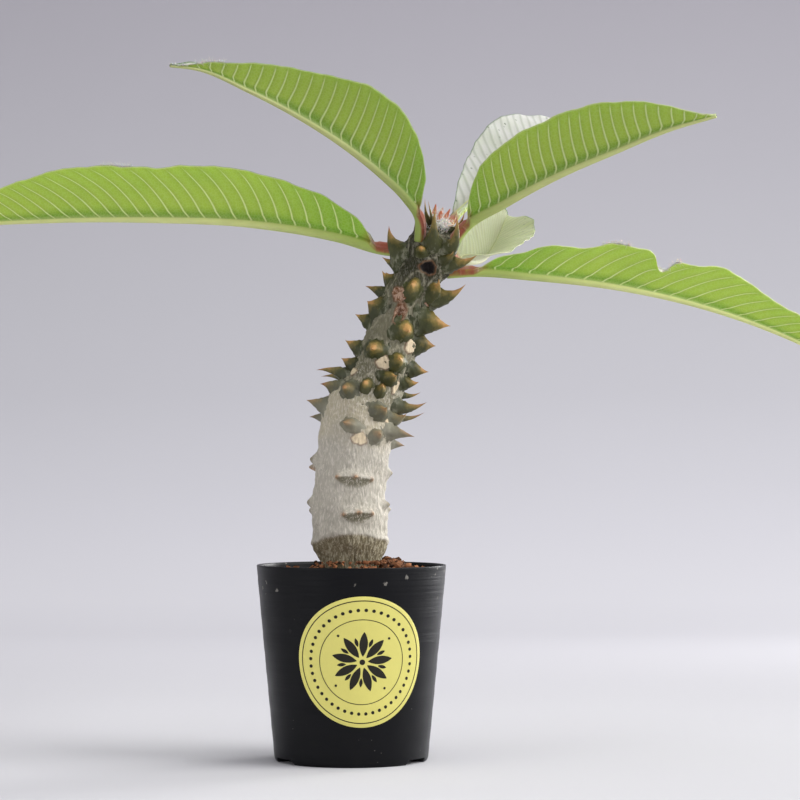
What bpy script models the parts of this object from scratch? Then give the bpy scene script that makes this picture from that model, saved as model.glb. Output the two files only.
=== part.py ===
"""Potted pachypodium: a leaning, spiny grey caudex with six long folded leaves, in a black nursery pot.

Units are metres and +Z is up. The origin is the centre of the pot's underside, on the surface it stands on.
The front of the plant, with the round label, looks towards -Y, and the stem leans towards +X.
Round the pot and the stem an azimuth of 0 degrees is the front, 90 the +X side and 180 the back.
"""

import math

import bmesh
import bpy
import numpy as np
from mathutils import Vector

# Driving dimensions of the pot, from its 90 mm mouth
MOUTH_RADIUS = 0.0450
FOOT_RADIUS = 0.0362
POT_HEIGHT = 0.0921
WALL = 0.0012
FLOOR_TOP = 0.0040
RECESS_TOP = 0.0025
FOOT_WIDTH = 0.0040
FOOT_CHAMFER = 0.0014
CENTRE_PAD_RADIUS = 0.0110
NOTCH_AZIMUTHS = (-60.0, 60.0, 180.0)
NOTCH_WIDTH = 0.0150
NOTCH_HEIGHT = 0.0030
DRAIN_HOLES = 6
DRAIN_RING_RADIUS = 0.0205
DRAIN_RADIUS = 0.0030
DRAIN_SIDES = 8
POT_SIDES = 48
FIT_GAP = 0.0003

# The round label, stuck on the front of the pot
LABEL_RADIUS = 0.0303
LABEL_THICKNESS = 0.0003
LABEL_AZIMUTH = 8.0
LABEL_HEIGHT = 0.0490
LABEL_STRIPS = 26

# The potting mix, mounded against the right and rear of the stem
SOIL_LEVEL = 0.0885
SOIL_MOUND = 0.0042
SOIL_MOUND_AZIMUTH = 115.0
SOIL_SIDES = 36
SOIL_RINGS = 6
SOIL_ROUGHNESS = 0.0009
CHIP_COUNT = 32
CHIP_LENGTH = 0.0056
HOLE_CLEARANCE = 0.0005

# The stem's centre line and radius from the root end to the tip: x, z, radius
STEM_STATIONS = (
    (-0.0005, 0.0660, 0.0110),
    (-0.0005, 0.0800, 0.0140),
    (-0.0005, 0.0920, 0.0163),
    (-0.0006, 0.0985, 0.0176),
    (-0.0008, 0.1100, 0.0177),
    (-0.0009, 0.1270, 0.0167),
    (0.0008, 0.1450, 0.0171),
    (0.0026, 0.1580, 0.0170),
    (0.0048, 0.1660, 0.0161),
    (0.0090, 0.1735, 0.0139),
    (0.0128, 0.1810, 0.0127),
    (0.0170, 0.1920, 0.0124),
    (0.0208, 0.2050, 0.0114),
    (0.0258, 0.2180, 0.0103),
    (0.0302, 0.2270, 0.0102),
    (0.0342, 0.2355, 0.0113),
    (0.0370, 0.2430, 0.0108),
    (0.0390, 0.2490, 0.0084),
    (0.0402, 0.2525, 0.0052),
)
STEM_SIDES = 28
STEM_RINGS = 38

# Leaf scars climb the stem in a spiral, each under a pair of spines
SPINY_TOP = 0.2360
SPINY_BOTTOM = 0.1530
SPINY_STEP_TOP = 0.0049
SPINY_STEP_BOTTOM = 0.0023
SPINY_TURN = 137.5
FIRST_AZIMUTH = 10.0
OLD_TOP = 0.1510
OLD_BOTTOM = 0.1060
OLD_STEP = 0.0037
RIDGES_BELOW = 0.1490
OLD_TURN = 144.0
OLD_FIRST_AZIMUTH = 10.0
SCAR_RADIUS = 0.0024
SCAR_HEIGHT = 0.0006
SCAR_SIDES = 6
SPINE_SIDE_OFFSET = 0.0046
SPINE_RISE = 0.0034
SPINE_SUNK = 0.0022
SPINE_SIDES = 5
SPINE_BEND = 12.0
SPINE_HALF_HEIGHT = 0.0040
SPINE_HALF_WIDTH = 0.0026
SPINE_RINGS = ((0.0, 1.0), (0.33, 0.66), (0.66, 0.23))
RIDGE_HALF_LENGTH = 0.0088
RIDGE_HALF_HEIGHT = 0.0019
RIDGE_PROUD = 0.0019
RIDGE_SAG = 0.0016
SPINE_LENGTHS = ((0.1510, 0.0040), (0.1560, 0.0080), (0.1650, 0.0105), (0.1800, 0.0125), (0.2360, 0.0122))
SPINE_TAIL = 0.0050
SPINE_ROOT = 0.0034
CROWN_SPREAD = 33.0
CROWN_MISSING = (("leaf_upper_left", -1),)
CROWN_SIZE = 1.25
CROWN_RINGS = ((0.0, 1.0), (0.38, 0.78), (0.70, 0.30))
CROWN_SPINE_UP = 0.0010
CROWN_SPINE_TOP = 0.2447
CROWN_RISE = ((0.2370, 26.0), (0.2400, 34.0), (0.2455, 68.0))
CROWN_LENGTH = ((0.2370, 0.0140), (0.2400, 0.0155), (0.2455, 0.0195))
YOUNG_SPINES = 7
YOUNG_SPINE_HEIGHT = 0.2506
YOUNG_SPINE_LENGTH = 0.0105
YOUNG_SPINE_RISE = 66.0
YOUNG_SPINE_SIZE = 0.5
CLEAR_OF_STALKS = 0.0014
SEED = 7

# Leaves: where each sits on the stem (azimuth and height), its midrib's points from there to the tip,
# which way its upper side faces, the fold of each half above the leaf's side, the blade's half width
# along it, and the waves of the margin
LEAVES = {
    "leaf_left": {
        "seat": (-103.0, 0.2370),
        "midrib": (
            (0.0158, 0.0048, 0.2425), (-0.0057, 0.0074, 0.2484), (-0.0492, 0.0159, 0.2558),
            (-0.0985, 0.0282, 0.2588), (-0.1490, 0.0419, 0.2595), (-0.1976, 0.0531, 0.2572),
            (-0.2198, 0.0580, 0.2536),
        ),
        "faces": (0.0, 0.05, 1.0), "fold": 60.0, "petiole_radius": 0.0033,
        "outline": (
            (0.055, 0.0), (0.09, 0.0082), (0.115, 0.0138), (0.14, 0.0178), (0.18, 0.0220),
            (0.25, 0.0272), (0.31, 0.0302), (0.38, 0.0304), (0.48, 0.0280), (0.57, 0.0298),
            (0.66, 0.0288), (0.76, 0.0215), (0.80, 0.0185), (0.89, 0.0125), (1.0, 0.0),
        ),
        "waves": 3.0, "wave_height": 0.0010,
    },
    "leaf_upper_left": {
        "seat": (-25.0, 0.2445),
        "midrib": (
            (0.0322, -0.0150, 0.2556), (0.0258, -0.0162, 0.2648), (0.0148, -0.0195, 0.2750),
            (0.0025, -0.0255, 0.2843), (-0.0217, -0.0406, 0.2986), (-0.0455, -0.0560, 0.3092),
            (-0.0688, -0.0694, 0.3173), (-0.0799, -0.0750, 0.3178),
        ),
        "faces": (0.40, 0.10, 0.90), "fold": 64.0, "petiole_radius": 0.0027,
        "outline": (
            (0.075, 0.0), (0.09, 0.0030), (0.12, 0.0094), (0.17, 0.0176), (0.22, 0.0232),
            (0.28, 0.0280), (0.36, 0.0312), (0.43, 0.0316), (0.50, 0.0292), (0.59, 0.0234),
            (0.69, 0.0181), (0.78, 0.0128), (0.88, 0.0056), (1.0, 0.0),
        ),
        "waves": 2.0, "wave_height": 0.0008,
    },
    "leaf_upper_right": {
        "seat": (68.0, 0.2485),
        "midrib": (
            (0.0538, -0.0045, 0.2521), (0.0724, -0.0100, 0.2628), (0.0978, -0.0222, 0.2750),
            (0.1228, -0.0338, 0.2845), (0.1474, -0.0441, 0.2934), (0.1674, -0.0510, 0.2984),
        ),
        "faces": (-0.30, 0.06, 0.95), "fold": 64.0, "petiole_radius": 0.0030,
        "outline": (
            (0.075, 0.0), (0.10, 0.0052), (0.14, 0.0134), (0.20, 0.0210), (0.28, 0.0254),
            (0.38, 0.0277), (0.52, 0.0276), (0.61, 0.0272), (0.69, 0.0250), (0.78, 0.0200),
            (0.85, 0.0136), (0.92, 0.0063), (1.0, 0.0),
        ),
        "waves": 2.0, "wave_height": 0.0007,
    },
    "leaf_right": {
        "seat": (98.0, 0.2360),
        "midrib": (
            (0.0587, 0.0025, 0.2316), (0.0859, 0.0054, 0.2296), (0.1306, 0.0151, 0.2246),
            (0.1764, 0.0290, 0.2146), (0.2195, 0.0433, 0.1994), (0.2402, 0.0496, 0.1896),
            (0.2601, 0.0560, 0.1774),
        ),
        "faces": (0.0, 0.0, 1.0), "fold": 56.0, "petiole_radius": 0.0029,
        "outline": (
            (0.06, 0.0), (0.11, 0.0090), (0.16, 0.0150), (0.20, 0.0198), (0.27, 0.0180),
            (0.33, 0.0248), (0.38, 0.0235), (0.44, 0.0135), (0.485, 0.0210), (0.55, 0.0242),
            (0.62, 0.0200), (0.67, 0.0164), (0.75, 0.0142), (0.88, 0.0085), (1.0, 0.0),
        ),
        "waves": 3.5, "wave_height": 0.0020,
    },
    "leaf_back_upper": {
        "seat": (170.0, 0.2465),
        "midrib": (
            (0.0460, 0.0185, 0.2550), (0.0580, 0.0320, 0.2680), (0.0820, 0.0700, 0.2892),
            (0.1034, 0.1050, 0.3050), (0.1216, 0.1350, 0.3130), (0.1340, 0.1550, 0.3140),
        ),
        "faces": (-0.2, -0.3, 0.9), "fold": 48.0, "petiole_radius": 0.0025,
        "outline": (
            (0.09, 0.0), (0.15, 0.0063), (0.24, 0.0135), (0.35, 0.0202), (0.50, 0.0270),
            (0.65, 0.0280), (0.82, 0.0190), (1.0, 0.0),
        ),
        "waves": 2.5, "wave_height": 0.0012,
    },
    "leaf_back_lower": {
        "seat": (135.0, 0.2390),
        "midrib": (
            (0.0488, 0.0200, 0.2388), (0.0562, 0.0340, 0.2387), (0.0644, 0.0620, 0.2424),
            (0.0705, 0.0930, 0.2511), (0.0758, 0.1250, 0.2622), (0.0800, 0.1500, 0.2727),
        ),
        "faces": (0.47, 0.0, 0.88), "fold": 53.0, "petiole_radius": 0.0025,
        "outline": (
            (0.09, 0.0), (0.15, 0.0090), (0.25, 0.0165), (0.38, 0.0205), (0.52, 0.0212),
            (0.70, 0.0206), (0.86, 0.0155), (1.0, 0.0),
        ),
        "waves": 2.5, "wave_height": 0.0012,
    },
}
LEAF_SECTIONS = 23
BLADE_STATIONS = 2
BLADE_THICKNESS = 0.0008
MARGIN_FLATTENING = 16.0
WING = 0.0003
CUSHION_MARGIN = 0.0004
CUSHION_RISE = 0.0019
CUSHION_DEPTH = 0.0060
CUSHION_SIDES = 12

# Young folded leaves at the growing tip
YOUNG_LEAVES = 7
YOUNG_LENGTH = 0.0100
YOUNG_RADIUS = 0.0013
YOUNG_SIDES = 5
BUD_CORE_RADIUS = 0.0040
BUD_CORE_HEIGHT = 0.0020
BUD_SIDES = 12

# Colours as red, green, blue and alpha, with roughness
MATERIALS = {
    "black_plastic": ((0.012, 0.012, 0.014, 1.0), 0.42),
    "yellow_label": ((0.72, 0.64, 0.16, 1.0), 0.45),
    "potting_mix": ((0.12, 0.055, 0.030, 1.0), 0.95),
    "grey_bark": ((0.38, 0.35, 0.29, 1.0), 0.80),
    "leaf_green": ((0.24, 0.36, 0.07, 1.0), 0.50),
    "young_leaf": ((0.55, 0.25, 0.14, 1.0), 0.60),
}


def clear_scene():
    """Removes whatever the scene starts with."""
    for obj in list(bpy.data.objects):
        bpy.data.objects.remove(obj, do_unlink=True)


def material(name):
    """A Principled material with the colour and roughness that MATERIALS gives."""
    found = bpy.data.materials.get(name)
    if found:
        return found
    colour, roughness = MATERIALS[name]
    made = bpy.data.materials.new(name)
    made.use_nodes = True
    shader = made.node_tree.nodes["Principled BSDF"]
    shader.inputs["Base Color"].default_value = colour
    shader.inputs["Roughness"].default_value = roughness
    made.diffuse_color = colour
    return made


def object_from(name, points, faces, finish, smooth_degrees=40.0):
    """An object of this mesh, in the scene, smooth where its faces meet at a shallow angle."""
    mesh = bpy.data.meshes.new(name)
    mesh.from_pydata([tuple(map(float, p)) for p in points], [], faces)
    mesh.validate()
    mesh.shade_smooth()
    mesh.set_sharp_from_angle(angle=math.radians(smooth_degrees))
    mesh.materials.append(material(finish))
    obj = bpy.data.objects.new(name, mesh)
    bpy.context.scene.collection.objects.link(obj)
    return obj


def face_outwards(obj):
    """Turns the faces of a closed mesh so that they all point out."""
    work = bmesh.new()
    work.from_mesh(obj.data)
    bmesh.ops.recalc_face_normals(work, faces=work.faces)
    work.to_mesh(obj.data)
    work.free()


def skin(rings, start=None, end=None):
    """Points and faces of a closed skin over equal rings, each end shut by a point or a flat cap."""
    count = len(rings[0])
    points = [p for ring in rings for p in ring]
    faces = []
    for row in range(len(rings) - 1):
        for i in range(count):
            a, b = row * count + i, row * count + (i + 1) % count
            faces.append((a, b, b + count, a + count))
    last = (len(rings) - 1) * count
    for tip, base, turned in ((start, 0, True), (end, last, False)):
        around = [base + i for i in range(count)]
        if tip is None:
            faces.append(tuple(reversed(around) if turned else around))
            continue
        points.append(tip)
        for i in range(count):
            a, b = around[i], around[(i + 1) % count]
            faces.append((b, a, len(points) - 1) if turned else (a, b, len(points) - 1))
    return points, faces


def smooth_curve(stations, parameters):
    """Values on a smooth curve through the stations, its parameter 0 to 1 by chord length."""
    rows = np.array(stations, float)
    chord = np.linalg.norm(np.diff(rows[:, : min(3, rows.shape[1])], axis=0), axis=1)
    knots = np.concatenate([[0.0], np.cumsum(chord)]) / chord.sum()
    slopes = np.gradient(rows, knots, axis=0)
    t = np.clip(np.asarray(parameters, float), 0.0, 1.0)
    i = np.clip(np.searchsorted(knots, t, side="right") - 1, 0, len(knots) - 2)
    width = knots[i + 1] - knots[i]
    s = ((t - knots[i]) / width)[:, None]
    width = width[:, None]
    return (
        (2 * s**3 - 3 * s**2 + 1) * rows[i]
        + (s**3 - 2 * s**2 + s) * width * slopes[i]
        + (3 * s**2 - 2 * s**3) * rows[i + 1]
        + (s**3 - s**2) * width * slopes[i + 1]
    )


def unit(vectors):
    """Each row at length one."""
    return vectors / np.linalg.norm(vectors, axis=-1, keepdims=True)


def around(azimuth_degrees):
    """The level unit vector that an azimuth points along."""
    angle = math.radians(azimuth_degrees)
    return np.array([math.sin(angle), -math.cos(angle), 0.0])


def boolean(target, operation, tools):
    """Joins the tools to the target, or cuts them from it, in one step, and removes them."""
    group = bpy.data.collections.new(target.name + "_tools")
    bpy.context.scene.collection.children.link(group)
    for tool in tools:
        bpy.context.scene.collection.objects.unlink(tool)
        group.objects.link(tool)
    modifier = target.modifiers.new("tools", "BOOLEAN")
    modifier.operation = operation
    modifier.solver = "EXACT"
    modifier.operand_type = "COLLECTION"
    modifier.collection = group
    bpy.context.view_layer.update()
    graph = bpy.context.evaluated_depsgraph_get()
    made = bpy.data.meshes.new_from_object(target.evaluated_get(graph))
    target.modifiers.clear()
    target.data = made
    for tool in list(group.objects):
        bpy.data.objects.remove(tool, do_unlink=True)
    bpy.data.collections.remove(group)
    target.data.set_sharp_from_angle(angle=math.radians(40.0))


def pot_radius(height):
    """The pot's outer radius at this height: a straight taper from the foot to the mouth."""
    return FOOT_RADIUS + (MOUTH_RADIUS - FOOT_RADIUS) * height / POT_HEIGHT


def turned(name, profile, sides, finish):
    """A solid turned round the Z axis from (radius, height) points that start and end on it."""
    angles = np.linspace(0.0, 2 * math.pi, sides, endpoint=False)
    rings = [[(r * math.sin(a), -r * math.cos(a), z) for a in angles] for r, z in profile[1:-1]]
    points, faces = skin(rings, (0.0, 0.0, profile[0][1]), (0.0, 0.0, profile[-1][1]))
    obj = object_from(name, points, faces, finish)
    face_outwards(obj)
    return obj


def block(name, centre, size, azimuth_degrees):
    """A box whose depth runs along the azimuth, for cutting."""
    out = around(azimuth_degrees)
    across = np.array([-out[1], out[0], 0.0])
    up = np.array([0.0, 0.0, 1.0])
    corners = []
    for x in (-0.5, 0.5):
        for y in (-0.5, 0.5):
            for z in (-0.5, 0.5):
                corners.append(centre + x * size[0] * across + y * size[1] * out + z * size[2] * up)
    faces = [(0, 1, 3, 2), (4, 6, 7, 5), (0, 4, 5, 1), (2, 3, 7, 6), (0, 2, 6, 4), (1, 5, 7, 3)]
    obj = object_from(name, corners, faces, "black_plastic")
    face_outwards(obj)
    return obj


def make_pot():
    """The tapered pot: thin wall, recessed floor with drain holes, foot ring with three notches."""
    foot_inner = FOOT_RADIUS - FOOT_WIDTH - FOOT_CHAMFER
    profile = [
        (0.0, 0.0),
        (CENTRE_PAD_RADIUS, 0.0),
        (CENTRE_PAD_RADIUS + FOOT_CHAMFER, RECESS_TOP),
        (foot_inner - FOOT_CHAMFER, RECESS_TOP),
        (foot_inner, 0.0),
        (FOOT_RADIUS - FOOT_CHAMFER, 0.0),
        (FOOT_RADIUS - 0.3 * FOOT_CHAMFER, 0.4 * FOOT_CHAMFER),
        (pot_radius(FOOT_CHAMFER), FOOT_CHAMFER),
        (MOUTH_RADIUS, POT_HEIGHT - 0.2 * WALL),
        (MOUTH_RADIUS - 0.3 * WALL, POT_HEIGHT),
        (MOUTH_RADIUS - 0.8 * WALL, POT_HEIGHT),
        (MOUTH_RADIUS - WALL, POT_HEIGHT - 0.3 * WALL),
        (pot_radius(FLOOR_TOP) - WALL, FLOOR_TOP + FOOT_CHAMFER),
        (pot_radius(FLOOR_TOP) - WALL - FOOT_CHAMFER, FLOOR_TOP),
        (0.0, FLOOR_TOP),
    ]
    pot = turned("pot", profile, POT_SIDES, "black_plastic")
    cutters = []
    for number, azimuth in enumerate(NOTCH_AZIMUTHS):
        depth = FOOT_WIDTH + 4 * FOOT_CHAMFER
        centre = around(azimuth) * (FOOT_RADIUS - 0.5 * depth + 2 * FOOT_CHAMFER)
        size = (NOTCH_WIDTH, depth, 2 * min(NOTCH_HEIGHT, RECESS_TOP - 0.0002))
        cutters.append(block(f"notch_{number}", centre, size, azimuth))
    for number in range(DRAIN_HOLES):
        centre = around(360.0 * number / DRAIN_HOLES) * DRAIN_RING_RADIUS
        angles = np.linspace(0.0, 2 * math.pi, DRAIN_SIDES, endpoint=False)
        rings = [
            [centre + DRAIN_RADIUS * np.array([math.sin(a), -math.cos(a), 0.0]) + (0, 0, z) for a in angles]
            for z in (RECESS_TOP - 0.5 * FLOOR_TOP, 1.5 * FLOOR_TOP)
        ]
        points, faces = skin(rings)
        cutters.append(object_from(f"drain_{number}", points, faces, "black_plastic"))
        face_outwards(cutters[-1])
    boolean(pot, "DIFFERENCE", cutters)
    return pot


def make_label():
    """A thin round label bent round the pot's wall, made of strips that run up the straight taper."""
    lean = math.atan2(MOUTH_RADIUS - FOOT_RADIUS, POT_HEIGHT)
    middle = pot_radius(LABEL_HEIGHT)
    angles = np.linspace(-math.pi / 2, math.pi / 2, LABEL_STRIPS + 1)

    def point(arc, rise, lift):
        height = LABEL_HEIGHT + rise * math.cos(lean)
        azimuth = LABEL_AZIMUTH + math.degrees(arc / middle)
        out = around(azimuth) * (pot_radius(height) + lift * math.cos(lean))
        return out + np.array([0.0, 0.0, height - lift * math.sin(lean)])

    rings = []
    for angle in angles[1:-1]:
        arc, half = LABEL_RADIUS * math.sin(angle), LABEL_RADIUS * math.cos(angle)
        inner, outer = FIT_GAP, FIT_GAP + LABEL_THICKNESS
        corners = ((-half, inner), (-half, outer), (half, outer), (half, inner))
        rings.append([point(arc, rise, lift) for rise, lift in corners])
    points, faces = skin(rings)
    label = object_from("label", points, faces, "yellow_label")
    face_outwards(label)
    return label


def stem_frame(parameters):
    """Centre, radius, and the tangent, front and right directions of the stem at these parameters."""
    stations = [(x, 0.0, z, r) for x, z, r in STEM_STATIONS]
    at = np.asarray(parameters, float)
    step = 1e-4
    values = smooth_curve(stations, at)
    ahead = smooth_curve(stations, np.minimum(at + step, 1.0))
    behind = smooth_curve(stations, np.maximum(at - step, 0.0))
    tangent = unit(ahead[:, :3] - behind[:, :3])
    front = np.tile([0.0, -1.0, 0.0], (len(tangent), 1))
    right = unit(np.cross(front, tangent) * -1.0)
    return values[:, :3], values[:, 3], tangent, front, right


def stem_parameter(height):
    """The parameter at which the stem's centre line passes this height."""
    fine = np.linspace(0.0, 1.0, 400)
    heights = smooth_curve([(x, 0.0, z, r) for x, z, r in STEM_STATIONS], fine)[:, 2]
    return float(np.interp(height, heights, fine))


def scar_places():
    """Every leaf scar as azimuth, height and whether it is old, on two spirals up the stem."""
    places = []
    height, azimuth = SPINY_TOP, FIRST_AZIMUTH
    while height >= SPINY_BOTTOM:
        places.append((azimuth, height, False))
        step = between(height, ((SPINY_BOTTOM, SPINY_STEP_BOTTOM), (SPINY_TOP, SPINY_STEP_TOP)))
        height, azimuth = height - step, azimuth + SPINY_TURN
    height, azimuth = OLD_TOP, OLD_FIRST_AZIMUTH
    while height >= OLD_BOTTOM:
        places.append((azimuth, height, height < RIDGES_BELOW))
        height, azimuth = height - OLD_STEP, azimuth + OLD_TURN
    return places


def on_stem(azimuth_degrees, height):
    """A point of the stem's smooth surface, with its outward, upward and sideways directions."""
    centre, radius, tangent, front, right = (v[0] for v in stem_frame([stem_parameter(height)]))
    angle = math.radians(azimuth_degrees)
    out = math.cos(angle) * front + math.sin(angle) * right
    side = math.cos(angle) * right - math.sin(angle) * front
    return centre + radius * out, out, tangent, side, radius


def spine_directions(azimuth, height, rise_degrees):
    """A spine's foot on the stem, its directions at the base and at the tip, and its sideways direction.

    It leaves the stem's surface and rises towards the sky, more so at its tip.
    """
    foot, out, _, side, _ = on_stem(azimuth, height)
    sky = np.array([0.0, 0.0, 1.0])
    rise, bend = math.radians(rise_degrees), math.radians(rise_degrees + SPINE_BEND)
    first = unit(math.cos(rise) * out + math.sin(rise) * sky)
    second = unit(math.cos(bend) * out + math.sin(bend) * sky)
    return foot, first, second, unit(side - (side @ first) * first)


def spine_axis(azimuth, height, length, rise_degrees):
    """The foot, tip and base width of a spine."""
    foot, first, second, _ = spine_directions(azimuth, height, rise_degrees)
    return foot, foot + 0.5 * length * (first + second), SPINE_HALF_WIDTH


def spine(name, azimuth, height, length, rise_degrees, size, profile=SPINE_RINGS):
    """A thorn: a broad base, taller than wide, that draws in to a sharp tip bending towards the stem's tip.

    Under the base it runs to a point inside the stem, so that a steep thorn has no ledge.
    """
    foot, first, second, side = spine_directions(azimuth, height, rise_degrees)
    out = on_stem(azimuth, height)[1]
    tail = foot - SPINE_ROOT * out - SPINE_TAIL * (first - (first @ out) * out)
    base = foot - SPINE_SUNK * first
    reach = length + SPINE_SUNK
    rings = []
    for t, share in profile:
        centre = base + reach * (t * (1 - 0.5 * t) * first + 0.5 * t * t * second)
        tall = np.cross(first, side)
        ring = []
        for k in range(SPINE_SIDES):
            a = 2 * math.pi * (k + 0.5) / SPINE_SIDES
            around_it = SPINE_HALF_HEIGHT * math.cos(a) * tall + SPINE_HALF_WIDTH * math.sin(a) * side
            ring.append(centre + share * size * around_it)
        rings.append(ring)
    tip = base + reach * (0.5 * first + 0.5 * second)
    points, faces = skin(rings, tail, tip)
    made = object_from(name, points, faces, "grey_bark")
    face_outwards(made)
    return made


def disc(name, foot, out, radius, above, below, sides):
    """A short round boss that stands out of the stem along a direction."""
    across = unit(np.cross(out, [0.0, 0.0, 1.0]) + 1e-9)
    over = np.cross(out, across)
    angles = np.linspace(0.0, 2 * math.pi, sides, endpoint=False)
    rings = [
        [foot + out * rise + radius * (math.cos(a) * across + math.sin(a) * over) for a in angles]
        for rise in (-below, above)
    ]
    points, faces = skin(rings)
    made = object_from(name, points, faces, "grey_bark")
    face_outwards(made)
    return made


def ridge(name, azimuth, height, draw):
    """An old leaf base: a low ridge across the stem that sags in the middle and ends in two worn nubs."""
    reach = on_stem(azimuth, height)[4]
    half = RIDGE_HALF_LENGTH * draw.uniform(0.88, 1.08)
    rings = []
    shares = ((-0.92, 0.62), (-0.70, 1.0), (-0.30, 0.78), (0.30, 0.78), (0.70, 1.0), (0.92, 0.62))
    for place, share in shares:
        level = height + RIDGE_SAG * (place * place - 0.4)
        foot, out, up, side, _ = on_stem(azimuth + math.degrees(half * place / reach), level)
        tall, proud = RIDGE_HALF_HEIGHT * share, RIDGE_PROUD * share
        section = ((-1.0, -0.9), (-0.62, 0.55), (0.0, 1.0), (0.75, 0.50), (1.0, -0.9))
        depths = [proud * b if b > 0 else 0.0016 * b for _, b in section]
        rings.append([foot + tall * a * up + depth * out for (a, _), depth in zip(section, depths)])
    points, faces = skin(rings)
    made = object_from(name, points, faces, "grey_bark")
    face_outwards(made)
    return made


def spine_manner(height):
    """How a spine at this height stands: its length, the angle it rises by, and its share of full size."""
    share = np.clip((height - SPINY_BOTTOM) / (SPINY_TOP - SPINY_BOTTOM), 0.0, 1.0)
    return between(height, SPINE_LENGTHS), -6.0 + 34.0 * share, 0.90 + 0.18 * share


def make_stem():
    """The caudex: a smooth leaning body, its spines, nubs, leaf scars and leaf cushions fused on."""
    parameters = np.linspace(0.0, 1.0, STEM_RINGS)
    centre, radius, tangent, front, right = stem_frame(parameters)
    angles = np.linspace(0.0, 2 * math.pi, STEM_SIDES, endpoint=False)
    rings = []
    for c, r, f, s in zip(centre, radius, front, right):
        rings.append([c + r * (math.cos(a) * f + math.sin(a) * s) for a in angles])
    points, faces = skin(rings)
    stem = object_from("stem", points, faces, "grey_bark")
    face_outwards(stem)

    draw = np.random.default_rng(SEED)
    grown = []
    for number, (azimuth, height, old) in enumerate(scar_places()):
        foot, out, _, _, reach = on_stem(azimuth, height)
        if old:
            grown.append(ridge(f"ridge_{number}", azimuth, height, draw))
            continue
        grown.append(disc(f"scar_{number}", foot, out, SCAR_RADIUS, SCAR_HEIGHT, 0.003, SCAR_SIDES))
        for side in (-1, 1):
            jitter = draw.uniform(-1.0, 1.0, 3)
            apart = math.degrees(SPINE_SIDE_OFFSET / reach)
            length, rise, size = spine_manner(height)
            place = azimuth + side * apart
            level = height + SPINE_RISE + 0.0006 * jitter[0]
            length, rise = length * (1 + 0.16 * jitter[1]), rise + 7.0 * jitter[2]
            if clear_of_stalks(*spine_axis(place, level, length, rise)):
                grown.append(spine(f"spine_{number}_{side}", place, level, length, rise, size))
    for name, leaf in LEAVES.items():
        seat, along = leaf_seat(leaf)
        wide = leaf["petiole_radius"] + CUSHION_MARGIN
        grown.append(disc("cushion_" + name, seat, along, wide, 0.0, CUSHION_DEPTH, CUSHION_SIDES))
        azimuth, height = leaf["seat"]
        for side in (-1, 1):
            reach = min(height + CROWN_SPINE_UP, CROWN_SPINE_TOP)
            rise, length = between(reach, CROWN_RISE), between(reach, CROWN_LENGTH)
            place = azimuth + side * CROWN_SPREAD
            if (name, side) in CROWN_MISSING:
                continue
            if clear_of_stalks(*spine_axis(place, reach, length, rise)):
                label = f"crown_spine_{name}_{side}"
                grown.append(spine(label, place, reach, length, rise, CROWN_SIZE, CROWN_RINGS))
    for number in range(YOUNG_SPINES):
        stance = (-40.0 + SPINY_TURN * number, YOUNG_SPINE_HEIGHT, YOUNG_SPINE_LENGTH, YOUNG_SPINE_RISE)
        if clear_of_stalks(*spine_axis(*stance)):
            grown.append(spine(f"young_spine_{number}", *stance, YOUNG_SPINE_SIZE))
    boolean(stem, "UNION", grown)
    return stem


def between(value, pairs):
    """The second number of a pair, read off straight lines between the pairs at this value of the first."""
    return float(np.interp(value, [a for a, _ in pairs], [b for _, b in pairs]))


def midrib(leaf):
    """A leaf's midrib points, which start at the top of its cushion on the stem."""
    foot, out, _, _, _ = on_stem(*leaf["seat"])
    return np.array([foot + CUSHION_RISE * out, *leaf["midrib"]])


def leaf_seat(leaf):
    """Where a leaf's stalk meets its cushion, and the direction in which it leaves."""
    start, ahead = smooth_curve(midrib(leaf), [0.0, 0.01])
    return start, unit(ahead - start)


def clear_of_stalks(foot, tip, width):
    """Whether a spine along this line stays clear of every leaf's stalk."""
    along = foot + np.linspace(0.0, 1.0, 12)[:, None] * (tip - foot)
    thick = width * (1.0 - np.linspace(0.0, 1.0, 12))
    for leaf in LEAVES.values():
        stalk = smooth_curve(midrib(leaf), np.linspace(0.0, 0.16, 24))
        apart = np.linalg.norm(along[:, None] - stalk[None], axis=2) - thick[:, None]
        if apart.min() < leaf["petiole_radius"] + CUSHION_MARGIN + CLEAR_OF_STALKS:
            return False
    return True


def leaf_width(leaf, reach):
    """The blade's half width along it, on a smooth curve through the leaf's outline points."""
    at, half = np.array(leaf["outline"]).T
    slopes = np.gradient(half, at)
    slopes[-1] = min(slopes[-1], -half[-2] / (at[-1] - at[-2]))
    t = np.clip(reach, at[0], at[-1])
    i = np.clip(np.searchsorted(at, t, side="right") - 1, 0, len(at) - 2)
    width = at[i + 1] - at[i]
    s = (t - at[i]) / width
    curve = (
        (2 * s**3 - 3 * s**2 + 1) * half[i]
        + (s**3 - 2 * s**2 + s) * width * slopes[i]
        + (3 * s**2 - 2 * s**3) * half[i + 1]
        + (s**3 - s**2) * width * slopes[i + 1]
    )
    return np.maximum(curve, 0.0)


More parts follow.
